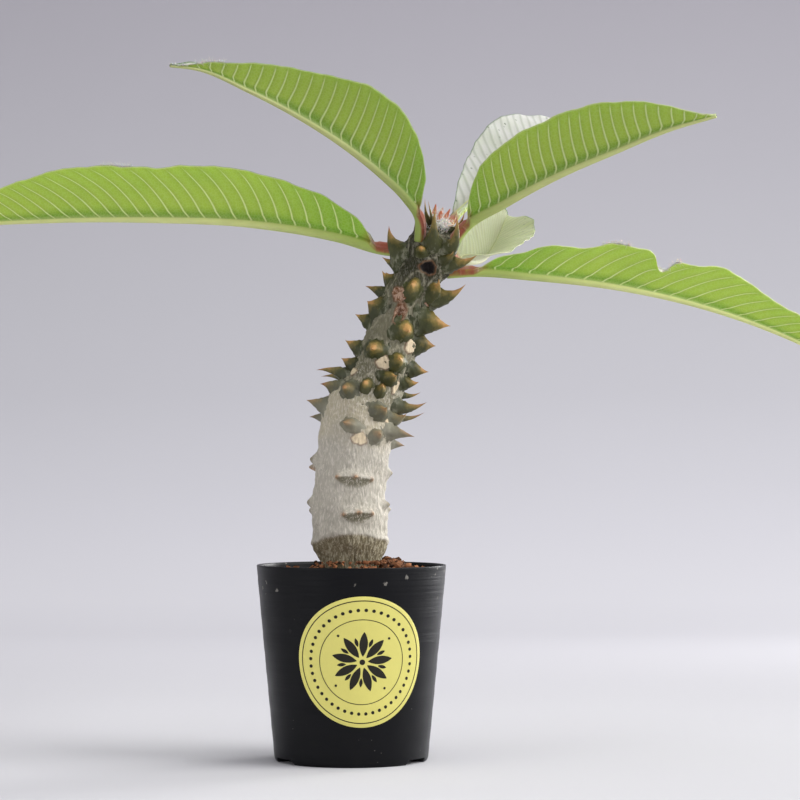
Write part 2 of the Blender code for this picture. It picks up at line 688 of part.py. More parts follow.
def make_leaf(name, leaf):
    """A folded leaf: stalk, midrib and blade as one thin solid, its sections carried along the midrib.

    Each section runs over the top from one margin to the other and back underneath, where the rib bulges.
    Each half of the blade rises by the fold angle, flattens towards the margin, and waves along it.
    """
    reach = np.linspace(0.0, 1.0, LEAF_SECTIONS)
    reach = reach + 0.25 * np.sin(2 * math.pi * reach) / (2 * math.pi)
    line = smooth_curve(midrib(leaf), reach)
    tangent = unit(np.gradient(line, axis=0))
    tangent[0] = leaf_seat(leaf)[1]
    line[0] = line[0] + tangent[0] * FIT_GAP
    rib = leaf["petiole_radius"] * (1.0 - 0.80 * reach**0.75)
    width = np.maximum(leaf_width(leaf, reach), rib + WING)
    start = leaf["outline"][0][0]
    flat = np.clip((reach - start) / 0.05, 0.0, 1.0)

    stations = np.concatenate([[0.0, 1.0], 1.0 + np.arange(1, BLADE_STATIONS + 1)])
    lateral = np.concatenate([-stations[:0:-1], stations])
    rings = []
    for i, point in enumerate(line):
        faces_to = np.array(leaf["faces"])
        up = unit(faces_to - (faces_to @ tangent[i]) * tangent[i])
        side = np.cross(tangent[i], up)
        top, under = [], []
        for place in lateral:
            near = min(abs(place), 1.0) * rib[i] * 0.9
            beyond = max(abs(place) - 1.0, 0.0) / BLADE_STATIONS
            out = near + beyond * (width[i] - rib[i])
            fold = math.radians(leaf["fold"] - MARGIN_FLATTENING * beyond) * flat[i]
            mean_fold = math.radians(leaf["fold"] - 0.5 * MARGIN_FLATTENING * beyond) * flat[i]
            sign = math.copysign(1.0, place)
            along_side = sign * math.cos(mean_fold) * side
            blade = point + out * (along_side + math.sin(mean_fold) * up)
            normal = -math.sin(fold) * sign * side + math.cos(fold) * up
            if place == 0:
                normal = up
            swing = math.sin(2 * math.pi * leaf["waves"] * reach[i] + 1.1 * sign)
            blade = blade + leaf["wave_height"] * beyond**2 * swing * normal
            bulge = math.sqrt(max(rib[i] ** 2 - near**2, 0.0)) if beyond == 0 else 0.0
            top.append(blade + normal * (0.5 * BLADE_THICKNESS + 0.90 * bulge * (1.0 - flat[i])))
            under.append(blade - normal * (0.5 * BLADE_THICKNESS + bulge))
        rings.append(top + under[::-1])
    points = [p for ring in rings for p in ring]
    across, count = len(lateral), len(rings[0])
    faces = []
    for row in range(len(rings) - 1):
        for j in range(across - 1):
            a, b = row * count + j, row * count + j + 1
            faces += [(a, b, b + count), (a, b + count, a + count)]
            c, d = row * count + count - 1 - j, row * count + count - 2 - j
            faces += [(d, c, d + count), (c, c + count, d + count)]
        base = row * count
        for a, b in ((base + across - 1, base + across), (base + count - 1, base)):
            faces += [(a, b, b + count), (a, b + count, a + count)]
    last = (len(rings) - 1) * count
    for j in range(across - 1):
        faces.append((j, count - 1 - j, count - 2 - j, j + 1))
        faces.append((last + j, last + j + 1, last + count - 2 - j, last + count - 1 - j))
    made = object_from(name, points, faces, "leaf_green", 60.0)
    face_outwards(made)
    return made


def soil_height(radius, azimuth_degrees, draw):
    """The mix's level at a place: a rough surface that mounds against one side of the stem."""
    towards = math.cos(math.radians(azimuth_degrees - SOIL_MOUND_AZIMUTH))
    mound = SOIL_MOUND * max(0.0, 0.35 + 0.65 * towards) * math.exp(-(((radius - 0.019) / 0.010) ** 2))
    return SOIL_LEVEL + mound + SOIL_ROUGHNESS * draw.uniform(-1.0, 1.0)


def chip(name, centre, size, draw):
    """A crumb of bark: a box turned at random."""
    turn = Vector(draw.uniform(-1.0, 1.0, 3)).normalized().to_track_quat("Z", "Y").to_matrix()
    corners = [
        centre + np.array(turn @ Vector((x * size[0], y * size[1], z * size[2])))
        for x in (-0.5, 0.5) for y in (-0.5, 0.5) for z in (-0.5, 0.5)
    ]
    faces = [(0, 1, 3, 2), (4, 6, 7, 5), (0, 4, 5, 1), (2, 3, 7, 6), (0, 2, 6, 4), (1, 5, 7, 3)]
    made = object_from(name, corners, faces, "potting_mix")
    face_outwards(made)
    return made


def make_soil():
    """The potting mix fills the pot to just under its mouth, with a plain hole where the stem stands."""
    draw = np.random.default_rng(SEED + 1)
    wall_gap = WALL + FIT_GAP
    root_end = STEM_STATIONS[0]
    hole_top = STEM_STATIONS[3][2] + HOLE_CLEARANCE
    edge = pot_radius(SOIL_LEVEL) - wall_gap - 0.0002
    floor_edge = pot_radius(FLOOR_TOP) - wall_gap - FOOT_CHAMFER
    angles = [360.0 * i / SOIL_SIDES for i in range(SOIL_SIDES)]
    rings = [
        [around(a) * floor_edge + (0, 0, FLOOR_TOP + FIT_GAP) for a in angles],
        [around(a) * (pot_radius(2.5 * FLOOR_TOP) - wall_gap) + (0, 0, 2.5 * FLOOR_TOP) for a in angles],
        [around(a) * edge + (0, 0, SOIL_LEVEL - 0.001) for a in angles],
    ]
    for radius in np.linspace(edge - 0.0008, hole_top, SOIL_RINGS):
        rings.append([around(a) * radius + (0, 0, soil_height(radius, a, draw)) for a in angles])
    hole_floor = root_end[1] - HOLE_CLEARANCE
    axis = np.array([root_end[0], 0.0, 0.0])
    rings.append([around(a) * hole_top + (0, 0, 0.0835) for a in angles])
    hole_bottom = root_end[2] + 4 * HOLE_CLEARANCE
    rings.append([axis + around(a) * hole_bottom + (0, 0, hole_floor) for a in angles])
    points, faces = skin(rings, (0.0, 0.0, FLOOR_TOP + FIT_GAP), (axis[0], 0.0, hole_floor))
    soil = object_from("soil", points, faces, "potting_mix")
    face_outwards(soil)

    chips = []
    for number in range(CHIP_COUNT):
        azimuth = draw.uniform(0.0, 360.0)
        if number % 3:
            azimuth = SOIL_MOUND_AZIMUTH + draw.normal(0.0, 45.0)
        radius = draw.uniform(hole_top + 0.0035, edge - 0.0035)
        if number % 2:
            radius = hole_top + 0.0035 + abs(draw.normal(0.0, 0.005))
        radius = min(radius, edge - 0.0035)
        size = CHIP_LENGTH * np.array([1.0, 0.55, 0.40]) * draw.uniform(0.6, 1.1)
        centre = around(azimuth) * radius + (0, 0, soil_height(radius, azimuth, draw) - 0.0002)
        chips.append(chip(f"chip_{number}", centre, size, draw))
    boolean(soil, "UNION", chips)
    return soil


def make_young_leaves():
    """A tuft of small pointed leaves on a low core, seated on the flat tip of the stem."""
    centre, _, tangent, front, right = (v[0] for v in stem_frame([1.0]))
    seat = centre + tangent * FIT_GAP
    tuft = disc("young_leaves", seat, tangent, BUD_CORE_RADIUS, BUD_CORE_HEIGHT, 0.0, BUD_SIDES)
    tuft.data.materials.clear()
    tuft.data.materials.append(material("young_leaf"))
    blades = []
    for number in range(YOUNG_LEAVES):
        angle = 2 * math.pi * number / (YOUNG_LEAVES - 1)
        apart = 0.0 if number == YOUNG_LEAVES - 1 else 0.0022
        out = math.cos(angle) * front + math.sin(angle) * right
        root = seat + tangent * (0.4 * BUD_CORE_HEIGHT) + apart * out
        along = unit(tangent + 0.28 * out * (apart > 0))
        side = unit(np.cross(along, out))
        over = np.cross(side, along)
        length = YOUNG_LENGTH * (1.0 if number % 2 else 0.78)
        rings = []
        for t, share in ((0.0, 0.75), (0.4, 1.0), (0.75, 0.60)):
            middle = root + along * length * t
            rings.append([
                middle + share * YOUNG_RADIUS * (math.cos(a) * side + 0.8 * math.sin(a) * over)
                for a in np.linspace(0.0, 2 * math.pi, YOUNG_SIDES, endpoint=False)
            ])
        points, faces = skin(rings, None, root + along * length)
        blades.append(object_from(f"young_leaf_{number}", points, faces, "young_leaf"))
        face_outwards(blades[-1])
    boolean(tuft, "UNION", blades)
    return tuft


def main():
    clear_scene()
    make_pot()
    make_label()
    make_soil()
    make_stem()
    for name, leaf in LEAVES.items():
        make_leaf(name, leaf)
    make_young_leaves()


main()
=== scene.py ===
"""Dresses the solids of a potted pachypodium: pot, label, potting mix, bark, spines, leaves and studio.

Units are metres and +Z is up. The origin is the centre of the pot's underside, on the surface it stands on.
An azimuth of 0 degrees is the front of the plant, 90 the +X side and 180 the back.
"""

import math

import bpy
import numpy as np
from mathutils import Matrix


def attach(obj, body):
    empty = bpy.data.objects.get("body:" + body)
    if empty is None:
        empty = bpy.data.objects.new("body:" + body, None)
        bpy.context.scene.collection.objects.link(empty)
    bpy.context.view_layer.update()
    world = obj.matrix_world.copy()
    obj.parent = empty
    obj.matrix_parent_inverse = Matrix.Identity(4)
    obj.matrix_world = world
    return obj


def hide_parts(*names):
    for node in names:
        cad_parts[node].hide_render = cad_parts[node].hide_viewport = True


bl_info = {
    "name": "Potted pachypodium",
    "version": (1, 0, 0),
    "blender": (4, 5, 0),
    "location": "3D View > Sidebar > Pachypodium",
    "description": "Builds the visible surfaces of a potted pachypodium over its packed solids",
    "category": "Add Mesh",
}

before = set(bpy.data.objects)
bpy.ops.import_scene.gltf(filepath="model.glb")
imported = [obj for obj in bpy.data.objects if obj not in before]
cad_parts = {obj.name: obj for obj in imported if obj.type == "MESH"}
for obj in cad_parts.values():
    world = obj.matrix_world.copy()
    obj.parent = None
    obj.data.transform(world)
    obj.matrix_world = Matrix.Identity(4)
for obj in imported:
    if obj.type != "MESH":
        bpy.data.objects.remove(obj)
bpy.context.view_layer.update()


def srgb(red, green, blue):
    """A colour given as 0 to 255, as linear red, green and blue with an alpha of one."""
    share = np.array([red, green, blue]) / 255.0
    linear = np.where(share <= 0.04045, share / 12.92, ((share + 0.055) / 1.055) ** 2.4)
    return (*(float(part) for part in linear), 1.0)


# The pot: wall, floor and foot, as in the solid, and how finely its surface is cut and its corners rounded
WALL = 0.0012
POT_SIDES = 240
POT_WOBBLE = 0.00012
NEAR_AXIS = 0.0002
CORNER_REACH = 0.0006
CORNER_POINTS = 5
PROFILE_STEP = 0.0016
FLOOR_TOP = 0.0040
RECESS_TOP = 0.0025
FOOT_WIDTH = 0.0040
FOOT_CHAMFER = 0.0014
CENTRE_PAD_RADIUS = 0.0110
NOTCH_AZIMUTHS = (-60.0, 60.0, 180.0)
NOTCH_WIDTH = 0.0150
NOTCH_HEIGHT = 0.0023
DRAIN_HOLES = 6
DRAIN_RING_RADIUS = 0.0205
DRAIN_RADIUS = 0.0030
DRAIN_SIDES = 32
FIT_GAP = 0.0003

# The label's print: a ring of dots inside a thin border, and a rosette of leaves
LABEL_TILT = 3.4
LABEL_THICKNESS = 0.0003
INK_FOOT = FIT_GAP + LABEL_THICKNESS - 0.00002
INK_TOP = FIT_GAP + LABEL_THICKNESS + 0.00005
BORDER_RADIUS = 0.0283
INNER_RING_RADIUS = 0.0196
DOT_RING_RADIUS = 0.0240
DOT_COUNT = 44
ROSETTE_LEAVES = 9

# The potting mix, its mound beside the stem and its crumbs, some of them piled up against the bark
SOIL_LEVEL = 0.0885
SOIL_MOUND = 0.0042
SOIL_MOUND_AZIMUTH = 115.0
SOIL_HOLE = 0.0158
SOIL_PLUG = 0.080
CRUMBS_FROM = 0.0195
CHIP_COUNT = 980
PILED_CHIPS = 260
PILE_HEIGHT = 0.0062
PILE_TOP = 0.0936

# The stem's centre line and radius from the root end to the tip: x, z, radius
STEM_STATIONS = (
    (-0.0005, 0.0660, 0.0110), (-0.0005, 0.0800, 0.0140), (-0.0005, 0.0920, 0.0163),
    (-0.0006, 0.0985, 0.0176), (-0.0008, 0.1100, 0.0177), (-0.0009, 0.1270, 0.0167),
    (0.0008, 0.1450, 0.0171), (0.0026, 0.1580, 0.0170), (0.0048, 0.1660, 0.0161),
    (0.0090, 0.1735, 0.0139), (0.0128, 0.1810, 0.0127), (0.0170, 0.1920, 0.0124),
    (0.0208, 0.2050, 0.0114), (0.0258, 0.2180, 0.0103), (0.0302, 0.2270, 0.0102),
    (0.0342, 0.2355, 0.0113), (0.0370, 0.2430, 0.0108), (0.0390, 0.2490, 0.0084),
    (0.0402, 0.2525, 0.0052),
)
STEM_LINE = np.insert(np.array(STEM_STATIONS), 1, 0.0, axis=1)
STEM_SIDES = 216
STEM_RINGS = 420

# Leaf scars climb the stem in a spiral, each under a pair of spines
SPINY_TOP = 0.2360
SPINY_BOTTOM = 0.1530
SPINY_STEP_TOP = 0.0049
SPINY_STEP_BOTTOM = 0.0023
SPINY_TURN = 137.5
FIRST_AZIMUTH = 10.0
OLD_TOP = 0.1510
OLD_BOTTOM = 0.1060
OLD_STEP = 0.0037
RIDGES_BELOW = 0.1490
OLD_TURN = 144.0
SCAR_RADIUS = 0.0024
SPINE_SIDE_OFFSET = 0.0046
SPINE_RISE = 0.0034
SPINE_BEND = 12.0
SPINE_ROOT = 0.0030
SPINE_HALF_HEIGHT = 0.0046
SPINE_HALF_WIDTH = 0.0034
RIDGE_HALF_LENGTH = 0.0088
SPINE_LENGTHS = ((0.1510, 0.0040), (0.1560, 0.0080), (0.1650, 0.0105), (0.1800, 0.0125), (0.2360, 0.0122))
CROWN_SPREAD = 33.0
CROWN_SIZE = 1.25
CROWN_SPINE_UP = 0.0010
CROWN_SPINE_TOP = 0.2447
CROWN_RISE = ((0.2370, 26.0), (0.2400, 34.0), (0.2455, 68.0))
CROWN_LENGTH = ((0.2370, 0.0140), (0.2400, 0.0155), (0.2455, 0.0195))
CLEAR_OF_STALKS = 0.0014
SEED = 7
RIPPLE_WAVES = 14
SPINE_SIDES = 20
SPINE_RINGS = 18

# The spines and bumps of the front and the sides: azimuth and height of the foot, the tip's x, y and z, half
# the height and half the width of the base, youth from 0 to 1, and how rounded it is: -1 slender, 1 blunt,
# 2 a knob. Sizes in millimetres
FRONT_SPINES = (
    (-78, 234.8, 17.8, -4.6, 252.5, 6, 3.6, 0.75, -0.2), (-98, 228.8, 14.4, 2.5, 238.2, 3.4, 2.6, 0.6, 0),
    (-84, 222.4, 16.3, -1.2, 230.8, 4.4, 3.2, 0.6, 0.3), (-92, 216.4, 6.4, 0.7, 224.3, 3.6, 2.8, 0.3, 0.2),
    (-72, 209.6, 7.4, -5.5, 216.8, 5.6, 3.8, 0.3, 1), (-96, 203.6, 1.6, 2, 211, 4.2, 3, 0.2, 0.5),
    (-88, 190, -3.1, -0.7, 198.5, 4.4, 3.2, 0.2, 0.6), (-80, 181, -4.9, -3.3, 189.9, 4.2, 3.2, 0.2, 0.5),
    (-86, 175, -16.8, -1.9, 184.2, 3.8, 3, 0.1, 0), (-120, 174, -14.9, 11, 181.5, 3.2, 2.6, 0.1, 0),
    (-72, 168.2, -14.8, -6.4, 177.5, 4.4, 3.2, 0.1, 0.2), (-80, 162.6, -21.4, -4.3, 170, 4.6, 3.4, 0, 0.2),
    (-112, 158, -20.5, 9.2, 162.2, 2.8, 2.4, 0, 0.3), (4, 243.2, 39.4, -15, 262.1, 4, 4, 0.8, 0),
    (48, 243.6, 49.3, -13, 259.5, 4, 4, 0.75, 0), (-30, 252, 34.8, -7.1, 265.2, 1.7, 1.4, 1, -1),
    (-10, 252, 36.2, -9.1, 264.2, 1.5, 1.2, 1, -1), (75, 251.6, 53.8, -3.7, 260.1, 2, 1.6, 1, -1),
    (72, 238.2, 59.4, -7.8, 238.4, 4.4, 3.4, 0.7, -0.3), (-12, 238.8, 32.6, -19, 241.2, 3, 3, 0.85, 0.5),
    (50, 239.2, 48, -15.5, 239.8, 3, 2.8, 0.85, 0.3), (6, 222.2, 28.4, -17.2, 224.6, 5.6, 3, 0.7, 1),
    (62, 225, 41.2, -13.5, 226.8, 5.2, 2.4, 0.8, 0.8), (82, 223.2, 54.2, -4.5, 224.9, 5.6, 3.6, 0.6, 0.3),
    (68, 210.8, 47, -8.7, 204.7, 6, 4.2, 0.4, 0.8), (22, 203.6, 27.2, -18.2, 202, 5, 4, 0.5, 1),
    (78, 199.6, 40, -4.3, 195.5, 5.4, 3.8, 0.4, 0.8), (-26, 191.6, 10, -19.2, 193.4, 4, 4, 0.5, 1),
    (26, 189.4, 23, -19, 189.4, 4.2, 3.4, 0.5, 1), (82, 188.6, 36.7, -2.9, 183.3, 4.2, 3.4, 0.4, 0.6),
    (22, 181.6, 21.8, -18.2, 181.2, 3.2, 3.6, 0.4, 0.9), (72, 182.6, 32, -6, 178.4, 3.8, 3.4, 0.4, 0.4),
    (100, 178, 33, 3.8, 174, 2.2, 1.8, 0.4, 0), (76, 173.2, 35.8, -5.9, 169, 3.8, 3.4, 0.3, 0.2),
    (104, 169.6, 34.9, 5.3, 164.5, 2.6, 2.4, 0.6, 0), (-34, 169.4, -3.6, -23.6, 175, 4.4, 3.8, 0.05, 0.3),
    (-12, 174.5, 6.2, -19.2, 178.5, 4, 2.6, 1, 0.8), (18, 175.7, 15, -18, 177.5, 3.6, 2.4, 1, 0.8),
    (30, 167.4, 17.2, -20.3, 166.4, 3.6, 4.2, 0, 0.8), (70, 166.8, 26.2, -9, 163.6, 3.4, 3.4, 0, 0.8),
    (-8, 157.2, -4, -22.6, 159.4, 3.2, 4, 0, 1), (34, 154, 14.2, -19.6, 153.6, 3.6, 3.4, 0, 1),
    (66, 158, 30, -11.8, 152.4, 4, 4.4, 0, 0.1), (95, 151.2, 25.4, 2, 148.3, 2.6, 2.6, 0, 0.8),
    (-84, 140, -20.2, -2.1, 143, 3.2, 3.4, 0, 2), (-112, 136.8, -20.7, 8.1, 138.3, 2.2, 2.4, 0, 2),
    (84, 137.2, 19.2, -2, 138, 2.8, 3.2, 0, 2), (-82, 121.6, -20.7, -2.7, 123.6, 3, 3, 0, 2),
    (-98, 118, -20.9, 2.8, 117.4, 2.4, 2.4, 0, 2), (74, 120.6, 17.8, -6.3, 122.6, 2.8, 3, 0, 2),
    (92, 118, 18.9, 0.7, 117.9, 2.2, 2.2, 0, 2),
)
KNOB = 1.5
BACK_SPINES_FROM = 134.0

# The leaf scars of the front: azimuth, height, half width, half height and kind
FRONT_SCARS = (
    (17.0, 0.2334, 0.0040, 0.0027, "hole"),
    (76.0, 0.2204, 0.0028, 0.0024, "hole"),
    (60.0, 0.2196, 0.0014, 0.0012, "dried"),
    (-18.0, 0.2182, 0.0040, 0.0031, "dried"),
    (0.0, 0.2108, 0.0026, 0.0050, "hollow"),
    (50.0, 0.1978, 0.0034, 0.0031, "cork"),
    (0.0, 0.1872, 0.0033, 0.0028, "cork"),
    (8.0, 0.1518, 0.0034, 0.0028, "cork"),
    (52.0, 0.1648, 0.0026, 0.0020, "cork"),
    (46.0, 0.1800, 0.0018, 0.0026, "cork"),
    (-58.0, 0.1782, 0.0019, 0.0019, "cork"),
)
BACK_SCARS_FROM = 100.0
BACK_RIDGES_FROM = 118.0

# The old leaf bases of the smooth trunk's front: azimuth, height and half length
FRONT_RIDGES = ((8.0, 0.1338, 0.0095), (14.0, 0.1168, 0.0078))
RIDGE_DROP = 0.0056
COLLAR_HEIGHT = 0.1016
COLLAR_FRONT_RISE = 0.0052

# Painted light and shade on a pale leaf's upper face: how light the near half and the far half are painted
HALF_LIGHT_AND_SHADE = (1.13, 0.62)

# Leaves: where each sits on the stem (azimuth and height), which way its upper side faces, the fold of each
# half, the margin's waves, the spacing of its side veins, how much painted light makes its lower face
# lighter or darker, its midrib's points from the seat to the tip, the blade's half width along it and how far
# its veins lean towards the tip. Where the two halves differ: the half that the camera sees and the far
# half's share of its width
LEAVES = {
    "leaf_left": {
        "seat": (-103.0, 0.237), "faces": (0.0, 0.05, 1.0), "fold": 60.0, "petiole_radius": 0.0033,
        "waves": 3.0, "wave_height": 0.001, "vein_spacing": 0.0076, "tone": 1.17,
        "midrib": (
            (0.0158, 0.0048, 0.2425), (-0.0057, 0.0074, 0.2484), (-0.0492, 0.0159, 0.2558),
            (-0.0985, 0.0282, 0.2588), (-0.149, 0.0419, 0.2595), (-0.1976, 0.0531, 0.2572),
            (-0.2198, 0.058, 0.2536),
        ),
        "outline": (
            (0.042, 0.0), (0.075, 0.0082), (0.105, 0.0138), (0.135, 0.0178), (0.18, 0.022), (0.25, 0.0272),
            (0.31, 0.0302), (0.38, 0.0304), (0.48, 0.028), (0.57, 0.0298), (0.66, 0.0288), (0.76, 0.0215),
            (0.8, 0.0185), (0.89, 0.0125), (1.0, 0.0),
        ),
        "lean": ((0.15, 0.06), (0.3, 0.14), (0.45, 0.3), (0.6, 0.52), (0.8, 0.88)),
    },
    "leaf_upper_left": {
        "seat": (-25.0, 0.2445), "faces": (0.4, 0.1, 0.9), "fold": 64.0, "petiole_radius": 0.0027,
        "waves": 2.0, "wave_height": 0.0008, "vein_spacing": 0.006, "tone": 0.79,
        "midrib": (
            (0.0322, -0.015, 0.2556), (0.0258, -0.0162, 0.2648), (0.0148, -0.0195, 0.275),
            (0.0025, -0.0255, 0.2843), (-0.0217, -0.0406, 0.2986), (-0.0455, -0.056, 0.3092),
            (-0.0688, -0.0694, 0.3173), (-0.0799, -0.075, 0.3178),
        ),
        "outline": (
            (0.075, 0.0), (0.09, 0.003), (0.12, 0.0094), (0.17, 0.0176), (0.22, 0.0232), (0.28, 0.028),
            (0.36, 0.0312), (0.43, 0.0316), (0.5, 0.0292), (0.59, 0.0234), (0.69, 0.0181), (0.78, 0.0128),
            (0.88, 0.0056), (1.0, 0.0),
        ),
        "lean": ((0.15, 0.36), (0.3, 0.22), (0.5, 0.06), (0.7, -0.05), (0.88, -0.1)),
    },
    "leaf_upper_right": {
        "seat": (68.0, 0.2485), "faces": (-0.3, 0.06, 0.95), "fold": 64.0, "petiole_radius": 0.003,
        "waves": 2.0, "wave_height": 0.0007, "vein_spacing": 0.0054, "tone": 0.9,
        "midrib": (
            (0.0538, -0.0045, 0.2521), (0.0724, -0.01, 0.2628), (0.0978, -0.0222, 0.275),
            (0.1228, -0.0338, 0.2845), (0.1474, -0.0441, 0.2934), (0.1674, -0.051, 0.2984),
        ),
        "outline": (
            (0.075, 0.0), (0.1, 0.0052), (0.14, 0.0134), (0.2, 0.021), (0.28, 0.0254), (0.38, 0.0277),
            (0.52, 0.0276), (0.61, 0.0272), (0.69, 0.025), (0.78, 0.02), (0.85, 0.0136), (0.92, 0.0063),
            (1.0, 0.0),
        ),
        "lean": ((0.15, 0.14), (0.3, 0.15), (0.5, 0.08), (0.7, 0.0), (0.9, -0.04)),
    },
    "leaf_right": {
        "seat": (98.0, 0.236), "faces": (0.0, 0.0, 1.0), "fold": 56.0, "petiole_radius": 0.0029,
        "waves": 3.5, "wave_height": 0.0007, "vein_spacing": 0.0088, "tone": 1.1, "near": 1,
        "midrib": (
            (0.0587, 0.0025, 0.2316), (0.0859, 0.0054, 0.2296), (0.1306, 0.0151, 0.2246),
            (0.1764, 0.029, 0.2146), (0.2195, 0.0433, 0.1994), (0.2402, 0.0496, 0.1896),
            (0.2601, 0.056, 0.1774),
        ),
        "outline": (
            (0.048, 0.0), (0.1, 0.009), (0.15, 0.015), (0.2, 0.0196), (0.265, 0.0192), (0.32, 0.0238),
            (0.37, 0.0238), (0.408, 0.0214), (0.424, 0.0152), (0.436, 0.0146), (0.45, 0.0192),
            (0.485, 0.0212), (0.55, 0.0236), (0.62, 0.02), (0.67, 0.0168), (0.75, 0.0142), (0.88, 0.0085),
            (1.0, 0.0),
        ),
        "lean": ((0.15, 0.46), (0.3, 0.62), (0.5, 0.82), (0.7, 1.05), (0.88, 1.45)),
        "far": ((0.0, 0.45), (0.24, 0.5), (0.34, 0.95), (1.0, 1.0)),
    },
    "leaf_back_upper": {
        "seat": (170.0, 0.2465), "faces": (-0.2, -0.3, 0.9), "fold": 48.0, "petiole_radius": 0.0025,
        "waves": 2.5, "wave_height": 0.0012, "vein_spacing": 0.0062, "look": "hoary",
        "midrib": (
            (0.046, 0.0185, 0.255), (0.058, 0.032, 0.268), (0.082, 0.07, 0.2892), (0.1034, 0.105, 0.305),
            (0.1216, 0.135, 0.313), (0.134, 0.155, 0.314),
        ),
        "outline": (
            (0.09, 0.0), (0.15, 0.0063), (0.24, 0.0135), (0.35, 0.0202), (0.5, 0.027), (0.65, 0.028),
            (0.82, 0.019), (1.0, 0.0),
        ),
        "lean": ((0.2, 0.5), (0.8, 0.85)),
    },
    "leaf_back_lower": {
        "seat": (135.0, 0.239), "faces": (0.47, 0.0, 0.88), "fold": 53.0, "petiole_radius": 0.0025,
        "waves": 2.5, "wave_height": 0.0012, "vein_spacing": 0.0062, "look": "pale",
        "midrib": (
            (0.0488, 0.02, 0.2388), (0.0562, 0.034, 0.2387), (0.0644, 0.062, 0.2424),
            (0.0705, 0.093, 0.2511), (0.0758, 0.125, 0.2622), (0.08, 0.15, 0.2727),
        ),
        "outline": (
            (0.09, 0.0), (0.15, 0.009), (0.25, 0.0165), (0.38, 0.0205), (0.52, 0.0212), (0.7, 0.0206),
            (0.86, 0.0155), (1.0, 0.0),
        ),
        "lean": ((0.2, 0.5), (0.8, 0.85)),
    },
}

# Where down shows past a margin: leaf, side and the stretch, as shares of the leaf's rows. Then the hairs for
# each stretch, how finely the leaves are cut and how they meet the stem
DOWNY_MARGINS = (
    ("leaf_left", -1, 0.52, 0.60),
    ("leaf_upper_left", -1, 0.88, 1.00),
    ("leaf_right", 1, 0.255, 0.315),
    ("leaf_right", 1, 0.415, 0.450),
    ("leaf_right", -1, 0.400, 0.460),
)
MARGIN_HAIRS = 150
LEAF_SEED = 20
LEAF_ROWS = 210
RIB_COLUMNS = 6
BLADE_COLUMNS = 26
MARGIN_FLATTENING = 16.0
CUSHION_RISE = 0.0019
SEAT_SWELL = 0.0022
SEAT_REACH = 0.0038
STALK_ROOT = 0.0012
MARGIN_WAVES = ((0.021, 0.00022), (0.0083, 0.00010), (0.0034, 0.00004))
VEIN_HOOK = 0.0016

# The growing tip
YOUNG_LEAVES = 7
YOUNG_LENGTH = 0.0100
YOUNG_RADIUS = 0.0013
YOUNG_ROOT = 0.0012
YOUNG_APART = 0.0022
WOOL_HAIRS = 520
WOOL_RADIUS = 0.0056

# The studio's paper: where it leaves the floor behind the pot and the radius of its curve
SWEEP_BACK = 0.9
SWEEP_RADIUS = 0.9

# The camera, fitted to the pot's rim and foot in a picture of 800 by 800
CAMERA_PLACE = (0.0230, -1.2400, 0.1388)
CAMERA_PITCH = math.degrees(math.atan(65.9 / 2614.0))
CAMERA_LENS = 117.63
CAMERA_SENSOR = 36.0


def metres(name, description, default):
    """A size in metres, as a property."""
    return bpy.props.FloatProperty(
        name=name, description=description, default=default, min=0.0, precision=5,
        unit="LENGTH", subtype="DISTANCE",
    )


def watts(name, description, default):
    """A light's power in watts, as a property."""
    return bpy.props.FloatProperty(
        name=name, description=description, default=default, min=0.0, unit="POWER"
    )


def plain_number(name, description, default):
    """A plain number above zero, as a property."""
    return bpy.props.FloatProperty(name=name, description=description, default=default, min=0.0)


def tint(name, description, *rgb):
    """A colour given as 0 to 255, as a property that holds it as linear values with alpha."""
    return bpy.props.FloatVectorProperty(
        name=name, description=description, default=srgb(*rgb), size=4, min=0.0, max=1.0, subtype="COLOR"
    )


class PotSettings(bpy.types.PropertyGroup):
    """Sizes and colours of the nursery pot and its label."""

    mouth_radius: metres("Mouth radius", "Outer radius of the pot at its rim", 0.0450)
    foot_radius: metres("Foot radius", "Outer radius of the pot where it stands", 0.0362)
    height: metres("Height", "Height of the pot", 0.0921)
    ripple: metres("Ripple", "Depth of the faint rings that moulding leaves", 0.00005)
    plastic: tint("Plastic", "Colour of the plastic", 6, 7, 11)
    dust: tint("Dust", "Colour of the specks on the plastic", 150, 146, 138)
    label_radius: metres("Label radius", "Radius of the round label", 0.0303)
    label_azimuth: plain_number("Label azimuth", "Degrees from the front to the label's middle", 8.0)
    label_height: metres("Label height", "Height of the label's middle", 0.0490)
    paper: tint("Paper", "Colour of the label", 216, 208, 112)
    ink: tint("Ink", "Colour of the label's print", 42, 40, 34)


class SoilSettings(bpy.types.PropertyGroup):
    """Sizes and colours of the potting mix."""

    chip_length: metres("Chip length", "Length of the longest crumbs of bark", 0.0052)
    roughness: metres("Roughness", "Height of the lumps in the mix", 0.0008)
    dark: tint("Dark crumbs", "Colour of the dark crumbs", 62, 44, 34)
    light: tint("Light crumbs", "Colour of the light crumbs", 170, 114, 78)


class StemSettings(bpy.types.PropertyGroup):
    """Sizes and colours of the bark."""

    wrinkle: metres("Wrinkle depth", "Depth of the bark's fine wrinkles", 0.00013)
    root_colour: tint("Root colour", "Bark below the collar", 128, 118, 92)
    old_colour: tint("Old bark", "Bark of the smooth lower trunk", 184, 178, 164)
    line_colour: tint("Wrinkles", "Pale net of wrinkles on the trunk", 230, 222, 210)
    pale_colour: tint("Shoulder bark", "Bark where the spines end", 188, 178, 154)
    middle_colour: tint("Spiny bark", "Bark between the lower spines", 118, 114, 92)
    young_colour: tint("Young bark", "Bark between the upper spines", 46, 46, 24)
    scar_colour: tint("Leaf scars", "Corky faces of the leaf scars", 224, 206, 174)
    # Painted shade: the colour of the lens under each old leaf base
    painted_shade_colour: tint("Undersides", "Bark under the old leaf bases", 112, 108, 84)


